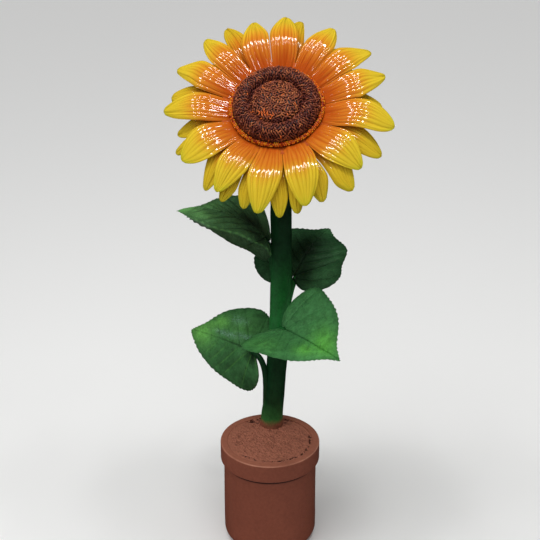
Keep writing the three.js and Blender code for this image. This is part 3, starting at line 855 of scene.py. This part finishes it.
def leaf_blade(leaf, seed, turns=380, shares=72):
    """The front and back of a blade, and the values that its paint follows."""
    turn = np.linspace(-1, 1, turns)[:, None] * FAN_WIDEST
    share = 1 - (1 - np.linspace(0, 1, shares)[None, :]) ** 1.25
    teeth_at = np.cumsum(1 + 0.35 * lumps_along(turn[:, 0] * 9, 2.0, seed)) * TOOTH_STEP
    teeth = (TOOTH_SIZE * np.sin(teeth_at)[:, None]
             * (0.5 + 0.5 * lumps_along(turn * 5, 1.0, seed + 1)))
    reach = (FAN_START + (1 - FAN_START) * share) * (1 + teeth * share ** 14)
    reach = reach * edge_reach(leaf, turn)
    along, across = (half_axis * reach for half_axis in heart(turn))
    middle = bent_leaf(leaf, along, across)
    midrib, side = vein_distance(leaf, along, across)
    fade = 1 - 0.75 * smooth_step(share, 0.6, 1.0)
    depth = leaf.get("vein depth", 1)
    swell = 1 - bell(np.minimum(side, midrib), SWELL_REACH)
    relief = (-MIDRIB_DEPTH * bell(midrib, MIDRIB_WIDTH) - depth * fade * bell(side, VEIN_WIDTH)
              + SWELL_HEIGHT * depth ** 0.5 * swell * (1 - share ** 6))
    for lump_seed, (rise, size) in enumerate(LEAF_LUMPS, seed + 2):
        relief = relief + rise * lumps(middle, size, lump_seed)
    # Bright airbrushed spots, and spots of painted shade.
    glow, shade = (sprayed(leaf[key], along, across) for key in ("glow", "shade"))
    if "hem" in leaf:
        relief, glow, shade = hemmed(leaf, along, across, relief, glow, shade)
    thick = LEAF["thickness"] * (1 - LEAF["tip thinning"] * share)
    half = (thick * np.sqrt(np.maximum(1 - share ** 9, 0.012)) / 2)[..., None]
    normal, relief = surface_normals(middle), relief[..., None]
    blade = np.stack([middle + normal * (half + relief), middle + normal * (relief * 0.8 - half)])
    fine = 1 - 0.55 * smooth_step(along, 0.1, 0.9)  # the midrib thins out towards the tip
    vein = np.maximum(fine * bell(midrib, 1.5 * fine), 0.3 * depth ** 2 * fade * bell(side, 1.1))
    pale = leaf.get("pale veins", 0) * fade * bell(side, 1.2) * smooth_step(across, 0, 0.2)
    scuff = sprayed(leaf.get("scuff", NOWHERE), along, across)
    return blade, both_sides(vein=vein * (1 - smooth_step(pale, 0, 0.1)), pale=pale, glow=glow,
                             shade=shade, rim=share ** 12, scuff=scuff)


print("side veins on each half:", len(VEINS))

# %% [markdown]
# The paint is built up in this order: body colour, painted shade, airbrush, veins and rim, with
# scuffs and the stipple of the casting over all. Each stalk is a limb on a cubic curve, whose first
# and last points say where it grows out and which way it meets the blade.

# %% Leaves and stalks
STALK_RADIUS, STALK_TAPER, STALK_FOOT = 6.2, 1.2, 2.6
# Each leaf has its own greens: its own paint, made lighter or darker as painted light and shade for
# where it stands. The upper right one, under the flower, is darkest.
LEAF_GREENS_AND_SHADE = {  # body, dark and bright, and how much the leaf mirrors
    "lower_right": (colour(84, 154, 90), colour(44, 100, 54), colour(108, 196, 80), 0.3),
    "lower_left": (colour(68, 126, 70), colour(16, 40, 20), colour(110, 184, 84), 0.3),
    "upper_right": (colour(48, 88, 54), colour(12, 24, 12), colour(72, 128, 78), 0.12),
    "upper_left": (colour(88, 138, 88), colour(40, 58, 40), colour(132, 208, 116), 0.3),
}


def leaf_paint(name, body, dark, bright, sheen):
    """Mid green, with painted shade by the stalk and in the "shade" spots, darker in the veins,
    brighter where the airbrush passed, dark at the rim and scuffed in specks, all over a leathery
    stipple."""
    material, tree, shader = green_satin(name, sheen)
    spot = own_place(tree)
    clouds = between(tree, noise(tree, spot, 22.0), 0.3, 0.75)
    base = blend(tree, calc(tree, "MULTIPLY", clouds, 0.1), body, dark)
    # Painted shade where the mesh's "shade" value says.
    shaded = blend(tree, reads(tree, "shade"), base, dark)
    lit = use_group(tree, AIRBRUSH, Vector=spot, Under=shaded, Over=bright,
                    Mask=reads(tree, "glow"), Drops=0.7)
    painted = blend(tree, calc(tree, "MULTIPLY", reads(tree, "vein"), 0.6), lit["Colour"], dark)
    painted = blend(tree, reads(tree, "pale"), painted, bright)
    painted = blend(tree, calc(tree, "MULTIPLY", reads(tree, "rim"), 0.45), painted,
                    colour(14, 36, 20))
    specks = between(tree, noise(tree, spot, 700.0, 1.0), 0.52, 0.62)
    painted = blend(tree, calc(tree, "MULTIPLY", specks, reads(tree, "scuff")), painted,
                    colour(150, 196, 180))
    cast_finish(tree, shader, painted, 400.0, 0.45, 0.002)
    return material


def stalk_rings(leaf, sides=28, steps=48):
    """A limb on a cubic curve that leaves the stem leaning up and arrives along the midrib,
    with a swelling where it grows out of the stem."""
    height, around, lift = leaf["stalk"]
    outward = around_axis(1, np.radians(around), 0)
    foot = STEM_AXIS[np.argmin(np.abs(STEM_AXIS[:, 2] - height))] + outward * (STEM_RADIUS - 8)
    forward, left = leaf_directions(leaf)
    pitch = np.radians(leaf["pitch"])
    arrival = forward * np.cos(pitch) + UP * np.sin(pitch)
    ahead, below = leaf.get("stalk end", (2, 3))
    end = np.array(leaf["base"]) + ahead * arrival - below * np.cross(forward, left)
    rising = unit(UP + leaf.get("stalk spread", 0.35) * outward)
    t = np.linspace(0, 1, steps)[:, None]
    path = ((1 - t) ** 3 * foot + 3 * (1 - t) ** 2 * t * (foot + rising * lift / 2)
            + 3 * (1 - t) * t * t * (end - arrival * lift / 2) + t ** 3 * end)
    radius = STALK_RADIUS - STALK_TAPER * t + STALK_FOOT * np.exp(-t / 0.12)
    rings = rings_along(evenly(path, steps), np.repeat(radius, sides, axis=1))
    return rings + 0.3 * lumps(rings, 9, 21)[..., None] * [0.5, 0.5, 0]


for seed, (side, leaf) in enumerate(LEAVES.items(), 40):
    blade, values = leaf_blade(leaf, seed)
    add_slab(f"blade_{side}", blade, "leaf",
             leaf_paint(f"leaf paint {side}".replace("_", " "), *LEAF_GREENS_AND_SHADE[side]),
             [f"leaf_{side}"], **values)
    add_loft(f"limb_{side}", stalk_rings(leaf), "stem", stem_green, [f"stalk_{side}"])
print("points on one blade:", blade[..., 0].size)

# %% [markdown]
# ## The flower's own frame
# The flower looks up and a little to the left. Everything on it is worked out as if it lay flat,
# facing +Z, and is then carried to its place by three directions: rightwards, upwards and facing.

# %% Head frame
UPWARDS = np.array([-np.sin(HEAD_TURN) * np.sin(HEAD_TILT), np.cos(HEAD_TURN) * np.sin(HEAD_TILT),
                    np.cos(HEAD_TILT)])
RIGHTWARDS = np.cross(UPWARDS, FACING)


def on_head(points):
    """Flat-lying points carried to the tilted head."""
    return HEAD_CENTRE + points @ np.array([RIGHTWARDS, UPWARDS, FACING])


def turned_by(points, clockwise):
    """Points that lie along +X, turned to point `clockwise` degrees from the top."""
    angle = np.radians(90 - clockwise)
    x, y, z = np.moveaxis(points, -1, 0)
    return xyz(x * np.cos(angle) - y * np.sin(angle), x * np.sin(angle) + y * np.cos(angle), z)


print("the flower faces", FACING.round(3))

# %% [markdown]
# ## The green cup
# Under the petals sits the calyx: a cup that closes the back of the head, with pointed bracts
# around it. The petals hide most of it from the front, so it is what one sees from behind.

# %% Calyx
CUP_PROFILE = [(20, -56), (27, -50), (46, -42), (69, -35), (75.5, -29), (75.5, -22), (75.5, -15),
               (80, -14.5), (80, -9.2), (72.6, -9.2), (72.4, -6.4)]
CUP_RIBS, RIB_SIZE = 28, 0.006
BRACT = {"count": 14, "root": 60, "reach": 122, "half width": 13, "height": -29.5, "rise": 3,
         "crown": 1.5, "crease": 0.9, "thickness": 3.4}


def bract_sheet():
    """One bract along +X: it narrows with the power 2.4 of the way out, its edges fall a
    little and its middle is creased."""
    along, across = np.meshgrid(np.linspace(0, 1, 30), np.linspace(-1, 1, 15), indexing="ij")
    width = BRACT["half width"] * np.maximum(0.05, 1 - along ** 2.4)
    middle = xyz(BRACT["root"] + (BRACT["reach"] - BRACT["root"]) * along, across * width,
                 BRACT["height"] + BRACT["rise"] * along - BRACT["crown"] * across ** 2
                 + BRACT["crease"] * bell(across, 0.22))
    half = BRACT["thickness"] / 2 * np.sqrt(np.maximum(1 - np.abs(across) ** 6, 0.02))
    return np.stack([middle + half[..., None] * UP, middle - half[..., None] * UP])


def calyx_paint():
    """Leaf green with a darker stipple."""
    material, tree, shader = green_satin("calyx paint")
    clouds = between(tree, noise(tree, own_place(tree), 40.0), 0.35, 0.7)
    base = blend(tree, clouds, colour(38, 88, 44), colour(60, 116, 52))
    cast_finish(tree, shader, base, 500.0, 0.4, 0.0008)
    return material


calyx_green = calyx_paint()
cup_line = evenly(np.array(CUP_PROFILE, float), 70)
cup = turned(np.vstack([(AXIS_HOLE, cup_line[0, 1]), cup_line, (AXIS_HOLE, cup_line[-1, 1])]), 112)
ribs = 1 + RIB_SIZE * np.cos(np.arctan2(cup[..., 1], cup[..., 0]) * CUP_RIBS)
cup[..., :2] *= ribs[..., None]
add_loft("calyx_cup", on_head(cup), "calyx", calyx_green, ["calyx"])
sheet = bract_sheet()
bracts = np.stack([turned_by(sheet, 90 - 360 * (number + 0.5) / BRACT["count"])
                   for number in range(BRACT["count"])])
add_copies("bracts", on_head(bracts), slab_faces(*sheet.shape[1:3]), "calyx", calyx_green)
print("bracts:", len(bracts))

# %% [markdown]
# ## The petals
# Two rows of broad petals fill the circle edge to edge, rise to a rounded knee and then fall to
# their tips. No two are alike, so a table gives each petal its direction, its length and width,
# and the shape and lean of its tip.

# %% Petal sizes
# For each petal: where it points, in degrees clockwise from the top; its length; its half
# width; how full its tip is, from pointed, 1, to blunt, 2.6; how far the tip leans to the left.
FRONT_ROW = {"start": 81.7, "height": -8.2, "seed": 100, "petals": [
    (-1, 124, 25, 1.4, 2.5), (27, 118, 26, 1.15, 10.5), (46, 121, 30, 1, -6.5),
    (69, 117, 32, 1, 15), (93.5, 123, 28, 2.6, -5.5), (124, 105, 32, 1.3, -1.5),
    (155.5, 115, 28, 1.6, -14.5), (181.5, 123, 28, 1.4, -6), (205.5, 106, 27, 1.3, -4.5),
    (234.5, 106, 32, 2.1, 1), (265, 117, 28, 1.4, -7), (294, 122, 32, 1, 2.5),
    (311, 125, 22, 1.25, -14), (338.5, 118, 27, 1, -9),
]}
BACK_ROW = {"start": 76.8, "height": -23.5, "seed": 150, "petals": [
    (2.5, 134, 24, 1.1, -9), (32, 98, 24, 1.5, 0), (57, 98, 24, 1.5, 0), (82, 104, 26, 2, 4),
    (108.5, 121, 23, 2.3, -7), (134.5, 123, 30, 1.4, -1), (147.5, 114, 24, 1.5, -9),
    (162.5, 122, 20, 1.6, -6), (172.5, 126, 22, 1.2, -2), (193, 115, 19, 1.6, 4),
    (202.5, 116, 20, 1.5, -4), (219, 113, 25, 1.1, 13), (243, 112, 22, 1.25, 0),
    (253, 100, 20, 2, -3), (275, 118, 26, 2.3, -13), (302, 100, 24, 1.5, 0),
    (328, 144, 18, 2.2, -3),
]}
PETAL = {"thickness": 4.6, "tip half width": 3, "widest": 0.46, "rise": 22, "fall": -34,
         "knee": (0.2, 0.8), "crown": 5, "side gap": 0.3, "edge thinning": 0.5,
         "tip thinning": 0.3, "hidden root": 6, "ribs": (6.5, 8.0), "rib depth": 1.3,
         "groove": 1.3}
SIDE_ROUNDING = 1.25  # packs the crosswise steps closer together towards the sides
print("petals:", len(FRONT_ROW["petals"]) + len(BACK_ROW["petals"]))

# %% [markdown]
# Every petal is first laid out along +X. Its sides go as far as its own outline wants to, but
# stop just short of the border with its neighbour. Each is ribbed lengthwise, and the varnish
# makes every rib catch the light at the knee, so the ribs have to be real relief.

# %% Petal shape


def rib_line(length, share):
    """How far out and up the middle line has come: its slope turns smoothly from the rise to
    the fall, and is summed over short steps. Before 0 it is the straight root."""
    steps = np.linspace(0, 1, 400)
    turned_over = smooth_step(steps, *PETAL["knee"])
    slope = np.radians(PETAL["rise"] + (PETAL["fall"] - PETAL["rise"]) * turned_over)
    root = length * np.minimum(share, 0)
    ways = []
    for part in (np.cos(slope), np.sin(slope)):
        travelled = np.concatenate([[0], np.cumsum(part[1:] * (length * steps[1]))])
        ways.append(np.interp(share, steps, travelled) + root * part[0])
    return ways


def petal_edges(shape, share):
    """How far the left and right edges would like to be from the middle line: full up to the
    widest place, then closing to a rounded tip that leans to one side."""
    _, _, half_width, fullness, lean = shape
    out = np.clip((share - PETAL["widest"]) / (1 - PETAL["widest"]), 0, 1)
    taper = (1 - out ** fullness) ** 0.75
    wide = PETAL["tip half width"] + (half_width - PETAL["tip half width"]) * taper
    lean = lean * np.maximum(share, 0) ** 2.5
    return wide + lean, wide - lean


def soft_least(wish, room, softness=1.5):
    """The smaller of two lengths, with a rounded change from one to the other."""
    return -np.log(np.exp(-wish / softness) + np.exp(-room / softness)) * softness


def petal_sheet(row, shape, gaps, seed, lengthwise=58, crosswise=91):
    """The front and back of a petal along +X between two neighbours, `gaps` degrees away on
    its left and right, and the values that its paint follows."""
    luck = np.random.default_rng(seed)
    length = shape[1]
    hidden = PETAL["hidden root"] / length
    share = (1 + hidden) * (1 - (1 - np.linspace(0, 1, lengthwise)) ** 1.35) - hidden
    spread = np.sin(np.linspace(-1, 1, crosswise) * SIDE_ROUNDING) / np.sin(SIDE_ROUNDING)
    along, across = np.meshgrid(share, spread, indexing="ij")
    lane = xyz(across * 4.5, along * 1.2, seed * 1.7)
    run = rib_line(length, along)[0]
    rise = rib_line(length, np.minimum(along + 0.03 * lumps(lane, 1.0, seed), 1))[1]
    radius = row["start"] + run
    left, right = (soft_least(wish, radius * np.tan(np.radians(gap) / 2) - PETAL["side gap"])
                   for wish, gap in zip(petal_edges(shape, along), gaps))
    closing = np.sqrt(np.clip((1.004 - along) / 0.03, 0, 1))
    width = np.maximum((left + right) / 2, 0.4) * closing
    drop = PETAL["crown"] * across ** 2 * np.sin(np.pi * np.maximum(along, 0))
    count = luck.uniform(*PETAL["ribs"])
    warp = across + 0.12 * lumps(lane * [1, 1.4, 1], 1.3, seed + 1)
    wave = np.abs(np.cos(np.pi * (warp * count / 2 + luck.uniform())))
    depth = (PETAL["rib depth"] * smooth_step(along, -0.02, 0.2)
             * (1 - 0.7 * smooth_step(along, 0.5, 0.95)))
    ribs = depth * (wave ** 0.9 - 1) * (0.75 + 0.35 * lumps(lane, 0.8, seed + 2))
    swell = 0.5 * lumps(lane, 1.7, seed + 3)
    groove = -PETAL["groove"] * bell(across, 0.1) * smooth_step(along, 0.6, 0.95)
    middle = xyz(radius, (left - right) / 2 + across * width, row["height"] + rise - drop + swell)
    thick = PETAL["thickness"] * (1 - PETAL["tip thinning"] * along)
    thick = thick * (1 - PETAL["edge thinning"] * across ** 2)
    thick = thick * np.sqrt(np.clip(1 - np.abs(across) ** 14, 0.01, 1))
    thick = thick * np.sqrt(np.clip((1.002 - along) / 0.04, 0.01, 1))
    normal = -surface_normals(middle)
    sheet = np.stack([middle + normal * (thick / 2 + ribs + groove)[..., None],
                      middle - normal * (thick / 2)[..., None]])
    return sheet, both_sides(along=along, across=across, crease=(1 - wave) ** 2.5 * depth,
                             luck=(seed * 0.618) % 1,
                             warmth=0.5 + 0.5 * np.cos(np.radians(shape[0])))


print("knee of a 100 mm petal, out and up:", np.round(rib_line(100, 0.5), 1))

# %% [markdown]
# The paint runs from a red orange at the root, through orange, to yellow with a touch of green at
# the tip, with dark lines in the creases. It mirrors nothing itself: all the shine is in the clear
# coat over it. The back row has a darker copy of the paint, partly its own darker paint and partly
# painted shade, as it lies behind the front row.

# %% Petal paint


def petal_paint(name, root, orange, yellow, tip):
    """Airbrushed bands from root to tip whose borders run out in streaks along the ribs and
    reach further down the middle, dark lines in the creases, and a thick clear varnish."""
    material, tree, shader = paint(name, 0.6, 0.0, {"Coat Weight": 1.0, "Coat Roughness": 0.08,
                                                    "Coat IOR": 1.6})
    along, across = reads(tree, "along"), reads(tree, "across")
    lane = node(tree, "CombineXYZ", {0: calc(tree, "MULTIPLY", across, 9.0),
                                     1: calc(tree, "MULTIPLY", along, 1.3),
                                     2: calc(tree, "MULTIPLY", reads(tree, "luck"), 50.0)})
    streaks = noise(tree, lane.outputs[0], 1.0, 3.0, Roughness=0.6)
    off_middle = calc(tree, "MULTIPLY", across, across)
    reach = calc(tree, "MULTIPLY_ADD", off_middle, 0.12, along)
    streaky = calc(tree, "MULTIPLY_ADD", streaks, 0.42, reach)
    shifted = calc(tree, "MULTIPLY_ADD", reads(tree, "warmth"), -0.12, streaky)
    painted = root
    for low, high, tint in ((0.16, 0.48, orange), (0.5, 0.95, yellow), (1.0, 1.3, tip)):
        painted = blend(tree, between(tree, shifted, low, high), painted, tint)
    deep = blend(tree, between(tree, shifted, 0.4, 1.0), colour(165, 46, 6), colour(160, 124, 10))
    lined = blend(tree, calc(tree, "MULTIPLY", reads(tree, "crease"), streaks), painted, deep)
    tree.links.new(lined, shader.inputs["Base Color"])
    roughen(tree, shader, noise(tree, lane.outputs[0], 0.8, 0.0), 0.0005, 0.5)
    return material


def add_row(prefix, row, material):
    """The petals of a row, each between its two neighbours."""
    turns = [shape[0] for shape in row["petals"]]
    for number, (turn, shape) in enumerate(zip(turns, row["petals"])):
        gaps = (turn - turns[number - 1]) % 360, (turns[(number + 1) % len(turns)] - turn) % 360
        sheet, values = petal_sheet(row, shape, gaps, row["seed"] + number)
        node_name = f"{prefix}_{number + 1:02d}"
        add_slab(f"{node_name}_cast", on_head(turned_by(sheet, turn)), "petal", material,
                 [node_name], **values)


add_row("petal_front", FRONT_ROW,
        petal_paint("varnished petal", colour(168, 72, 18), colour(194, 112, 32),
                    colour(214, 184, 46), colour(186, 182, 42)))
# The back row's darker copy of the paint is partly painted shade.
add_row("petal_back", BACK_ROW,
        petal_paint("varnished back petal with painted shade", colour(160, 68, 18), colour(186, 108, 28),
                    colour(204, 172, 40), colour(176, 164, 38)))

# %% [markdown]
# ## The seed disc
# The middle of the flower is a thick ring with a groove inside it and a low dome in the groove.
# It is covered with small worm-like grains, nearly upright spokes on the ring and every way on the
# dome. Grains are dealt over the profile by the golden angle, with equal area for each, and are
# dealt out to a few plain paints: dark brown, brown, tan where a dry brush touched the tips, and
# orange in one patch. Fewer grains in the groove get the lighter paints, as painted shade there.

# %% Disc base
DISC_PROFILE = [(69.6, -6), (70.2, -1), (70.4, 4), (69, 10.5), (64.5, 16), (57, 19), (49, 17),
                (44, 10), (41.5, 8.6), (38, 13), (28, 17.5), (13, 20.2), (AXIS_HOLE, 20.5)]
GRAIN_LIFT = 1.6  # how far the base lies under the grains' middle


def plain_paint(name, shade, roughness=0.5):
    """A plain colour with the cast grain, for the small things."""
    material, tree, shader = paint(name, roughness, 0.3)
    cast_finish(tree, shader, shade, 1500.0, 0.3)
    return material


disc_line = curve_through(DISC_PROFILE, 160)
base_line = (disc_line - [GRAIN_LIFT, 0] * (disc_line[:, :1] > 60)
             - [0, GRAIN_LIFT] * (disc_line[:, :1] < 70))
base = turned(np.vstack([(AXIS_HOLE, -6), base_line]), 120)
base[..., 2] += 0.5 * lumps(base, 4, 60)
add_loft("disc_base", on_head(base), "seed_disc", plain_paint("disc brown", colour(44, 22, 18)),
         ["seed_disc"])
print("disc base points:", base.shape)

# %% Grains
GRAINS = 1500
GRAIN_RINGS, GRAIN_SIDES = 5, 6
GOLDEN_ANGLE = np.pi * (3 - 5 ** 0.5)
ORANGE_PATCH, GROOVE_RADIUS = {"x": -12, "y": -29}, 43


def dealt_grains(count):
    """Places on the profile with equal area each, by the golden angle: a point, and the
    directions along the profile, around the disc and out of it, and the radius."""
    steps = np.linalg.norm(np.diff(disc_line, axis=0), axis=1)
    area = np.concatenate([[0], np.cumsum(steps * (disc_line[1:, 0] + disc_line[:-1, 0]))])
    wanted = (np.arange(count) + 0.5) / count * area[-1]
    radius, height = (np.interp(wanted, area, axis) for axis in disc_line.T)
    slopes = unit(np.gradient(disc_line, axis=0))
    slope_out, slope_up = (np.interp(wanted, area, axis)[:, None] for axis in slopes.T)
    angle = np.arange(count) * GOLDEN_ANGLE
    spoke, around = around_axis(1, angle, 0), xyz(-np.sin(angle), np.cos(angle), 0)
    inward = unit(spoke * slope_out + UP * slope_up)
    spots = spoke * radius[:, None] + UP * height[:, None]
    return spots, inward, around, np.cross(inward, around), radius


def grain_meshes(spots, directions, lengths, widths, bends, lifts):
    """Every grain at once: five rings along X whose size swells and closes, scaled, bent
    sideways, lifted at one end, and laid on the grain's own three directions."""
    x = np.array([-1, -0.72, 0, 0.72, 1])[:, None]
    size = np.array([0.35, 0.85, 1.0, 0.85, 0.35])[:, None]
    angle = full_turn(GRAIN_SIDES)
    length, width, sweep, lift = (value[:, None, None] for value in (lengths, widths, bends, lifts))
    amounts = (x * length / 2, size * np.cos(angle) * width / 2 + sweep * x ** 2,
               size * np.sin(angle) * width * 0.55 + lift * (x + 0.4))
    points = spots[:, None, None, :]
    for amount, direction in zip(amounts, directions):
        points = points + amount[..., None] * direction[:, None, None, :]
    return points


dice = np.random.default_rng(7)
spots, inward, around, out, radius = dealt_grains(GRAINS)
spots = spots + dice.normal(0, 0.35, spots.shape)
ring = smooth_step(radius, 40, 48)
twist = dice.normal(0, 0.55, GRAINS) * ring + dice.uniform(0, np.pi, GRAINS) * (1 - ring)
grain_along = inward * np.cos(twist)[:, None] + around * np.sin(twist)[:, None]
grains = grain_meshes(spots, (grain_along, np.cross(out, grain_along), out),
                      dice.uniform(4.0, 6.8, GRAINS), dice.uniform(2.1, 3.0, GRAINS),
                      dice.normal(0, 0.5, GRAINS), dice.normal(0, 0.45, GRAINS))
patch = bell(spots[:, 0] - ORANGE_PATCH["x"], 11) * bell(spots[:, 1] - ORANGE_PATCH["y"], 6)
# Less brushing in the groove leaves its grains darker: painted shade in the groove.
brushed_and_groove_shade = (0.16 + 0.34 * (1 - ring) - 0.5 * bell(radius - GROOVE_RADIUS, 4.5)
           + 0.22 * lumps(spots, 14, 71))
draw = dice.uniform(0, 1, GRAINS)
left = np.ones(GRAINS, bool)
for shade, chosen, tint in (("orange", draw < 1.1 * patch + 0.015, colour(214, 104, 44)),
                            ("tan", draw < brushed_and_groove_shade * 0.55, colour(176, 100, 58)),
                            ("brown", draw < 0.46 + brushed_and_groove_shade, colour(140, 72, 46)),
                            ("dark", left, colour(98, 42, 32))):
    group = grains[left & chosen]
    left = left & ~chosen
    add_copies(f"grains_{shade}", on_head(group), loft_faces(GRAIN_RINGS, GRAIN_SIDES),
               "seed_disc", plain_paint(f"grain {shade}", tint, 0.45))
    print(shade, "grains:", len(group))

# %% [markdown]
# ## The ring of beads
# Where the disc meets the petals there is a ring of small beads, orange and yellow over dark red.
# The beads sit in three circles on a thin red hoop. A low orange hoop under them closes the chinks
# between the roots of the petals.

# %% Beads
HOOP = {"radius": 74.6, "height": -4.0, "size": 2.9, "bead circle": 3.0}
BEAD_ROWS = [(8, 150), (58, 144), (112, 138)]  # the angle up the hoop, and how many beads
BEAD_RINGS, BEAD_SIDES = 6, 8
PETAL_BED = [(70, -8.6), (83, -8.5), (92, -5.6), (93, -8), (84, -11.5), (70, -11.5)]

hoop = turned(arc(HOOP["radius"], HOOP["height"], HOOP["size"], 0, 17, 360)[:-1], 160)
add_piece("bead_bed", on_head(hoop), hoop_faces(*hoop.shape[:2]), "beads",
          plain_paint("bead bed red", colour(170, 58, 10)), ["bead_ring"])
bed = turned(np.array(PETAL_BED), 120)
add_piece("petal_bed", on_head(bed), hoop_faces(*bed.shape[:2]), "petal",
          plain_paint("root orange", colour(176, 76, 16), 0.8))

bead_spots = []
for row_angle, beads_in_row in BEAD_ROWS:
    angle = full_turn(beads_in_row) + dice.normal(0, 0.006, beads_in_row)
    radius, height = arc(HOOP["radius"], HOOP["height"], HOOP["bead circle"], row_angle, 1)[0]
    bead_spots.append(around_axis(radius, angle, height))
bead_spots = np.vstack(bead_spots)
sizes = dice.uniform(1.15, 1.75, len(bead_spots))
latitude = np.linspace(-0.46, 0.46, BEAD_RINGS)[:, None] * np.pi
ball = around_axis(np.cos(latitude), full_turn(BEAD_SIDES), np.sin(latitude))
beads = bead_spots[:, None, None] + ball * sizes[:, None, None, None]
draw = dice.uniform(0, 1, len(beads))
for shade, tint, low, high in (("orange", colour(226, 110, 16), 0, 0.6),
                               ("yellow", colour(232, 150, 28), 0.6, 0.84),
                               ("red", colour(150, 40, 8), 0.84, 1.01)):
    group = beads[(draw >= low) & (draw < high)]
    add_copies(f"beads_{shade}", on_head(group), loft_faces(BEAD_RINGS, BEAD_SIDES), "beads",
               plain_paint(f"bead {shade}", tint, 0.3))
print("beads:", len(beads))

# %% [markdown]
# ## Floor, light and camera
# The floor is plain and pale. A very wide sun from the upper left and a faint one from the right
# light the whole thing softly. The six small lamps under the ceiling do what the suns can't: they
# are what shines in the varnish, as a few sharp glints on the knees of the petals. So the suns,
# the floor and the room's own light are all hidden from reflections, or they would lay a grey veil
# over the greens and the browns.

# %% Floor
FLOOR_REACH = 30.0
material, _, _ = paint("pale floor", 0.9, 0.1, {"Base Color": colour(246, 246, 245)})
floor_mesh = bpy.data.meshes.new("floor")
corners = [(-1, -1, 0), (1, -1, 0), (1, 1, 0), (-1, 1, 0)]
floor_mesh.from_pydata((np.array(corners) * FLOOR_REACH).tolist(), [], [(0, 1, 2, 3)])
floor_mesh.materials.append(material)
floor = add_object("floor", floor_mesh)
floor.visible_glossy = False
print("floor, metres across:", 2 * FLOOR_REACH)

# %% Lights and camera
SPOT_HEIGHT, SPOT_SIZE, SPOT_TARGET = 2.4, (0.26, 0.13), (0, 0, 0.8)
SPOTS = [(-0.62, -0.12, 5), (-0.2, -0.12, 5), (0.2, -0.12, 5), (0.6, -0.12, 5), (-0.7, -0.5, 2),
         (0.75, -0.5, 2)]  # x, y and watts
SUNS = {"key light": ((-0.5, -0.6, 1.0), 1.36, 75), "fill light": ((0.4, -0.8, 0.4), 0.15, 70)}
ROOM_LIGHT = 0.24
CAMERA_PLACE, LOOKS_DOWN, FOCAL_LENGTH = (0, -2.273, 1.6572), 26.1, 98.2


def aim(made, direction, axis):
    """Turns a lamp so that its own axis points that way."""
    made.rotation_euler = Vector(direction).to_track_quat(axis, "Y").to_euler()


for number, (x, y, watts) in enumerate(SPOTS, 1):
    lamp = bpy.data.lights.new(f"ceiling spot {number}", "AREA")
    lamp.shape = "RECTANGLE"
    (lamp.size, lamp.size_y), lamp.energy = SPOT_SIZE, watts
    spot = add_object(lamp.name, lamp)
    spot.location = (x, y, SPOT_HEIGHT)
    aim(spot, Vector(SPOT_TARGET) - spot.location, "-Z")
for name, (coming_from, strength, width) in SUNS.items():
    lamp = bpy.data.lights.new(name, "SUN")
    lamp.energy, lamp.angle = strength, np.radians(width)
    sun = add_object(name, lamp)
    aim(sun, coming_from, "Z")
    sun.visible_glossy = False
world = bpy.data.worlds.new("room")
bpy.context.scene.world = world
world.use_nodes = True
background = world.node_tree.nodes["Background"]
background.inputs["Color"].default_value = (1, 1, 1, 1)
background.inputs["Strength"].default_value = ROOM_LIGHT
world.cycles_visibility.glossy = False

lens = bpy.data.cameras.new("camera")
lens.lens, lens.sensor_width = FOCAL_LENGTH, 36
camera = add_object("camera", lens)
camera.location = CAMERA_PLACE
camera.rotation_euler = (np.radians(90 - LOOKS_DOWN), 0, 0)
bpy.context.scene.camera = camera
bpy.context.scene.view_settings.view_transform = "Standard"
print("lamps:", len(bpy.data.lights))
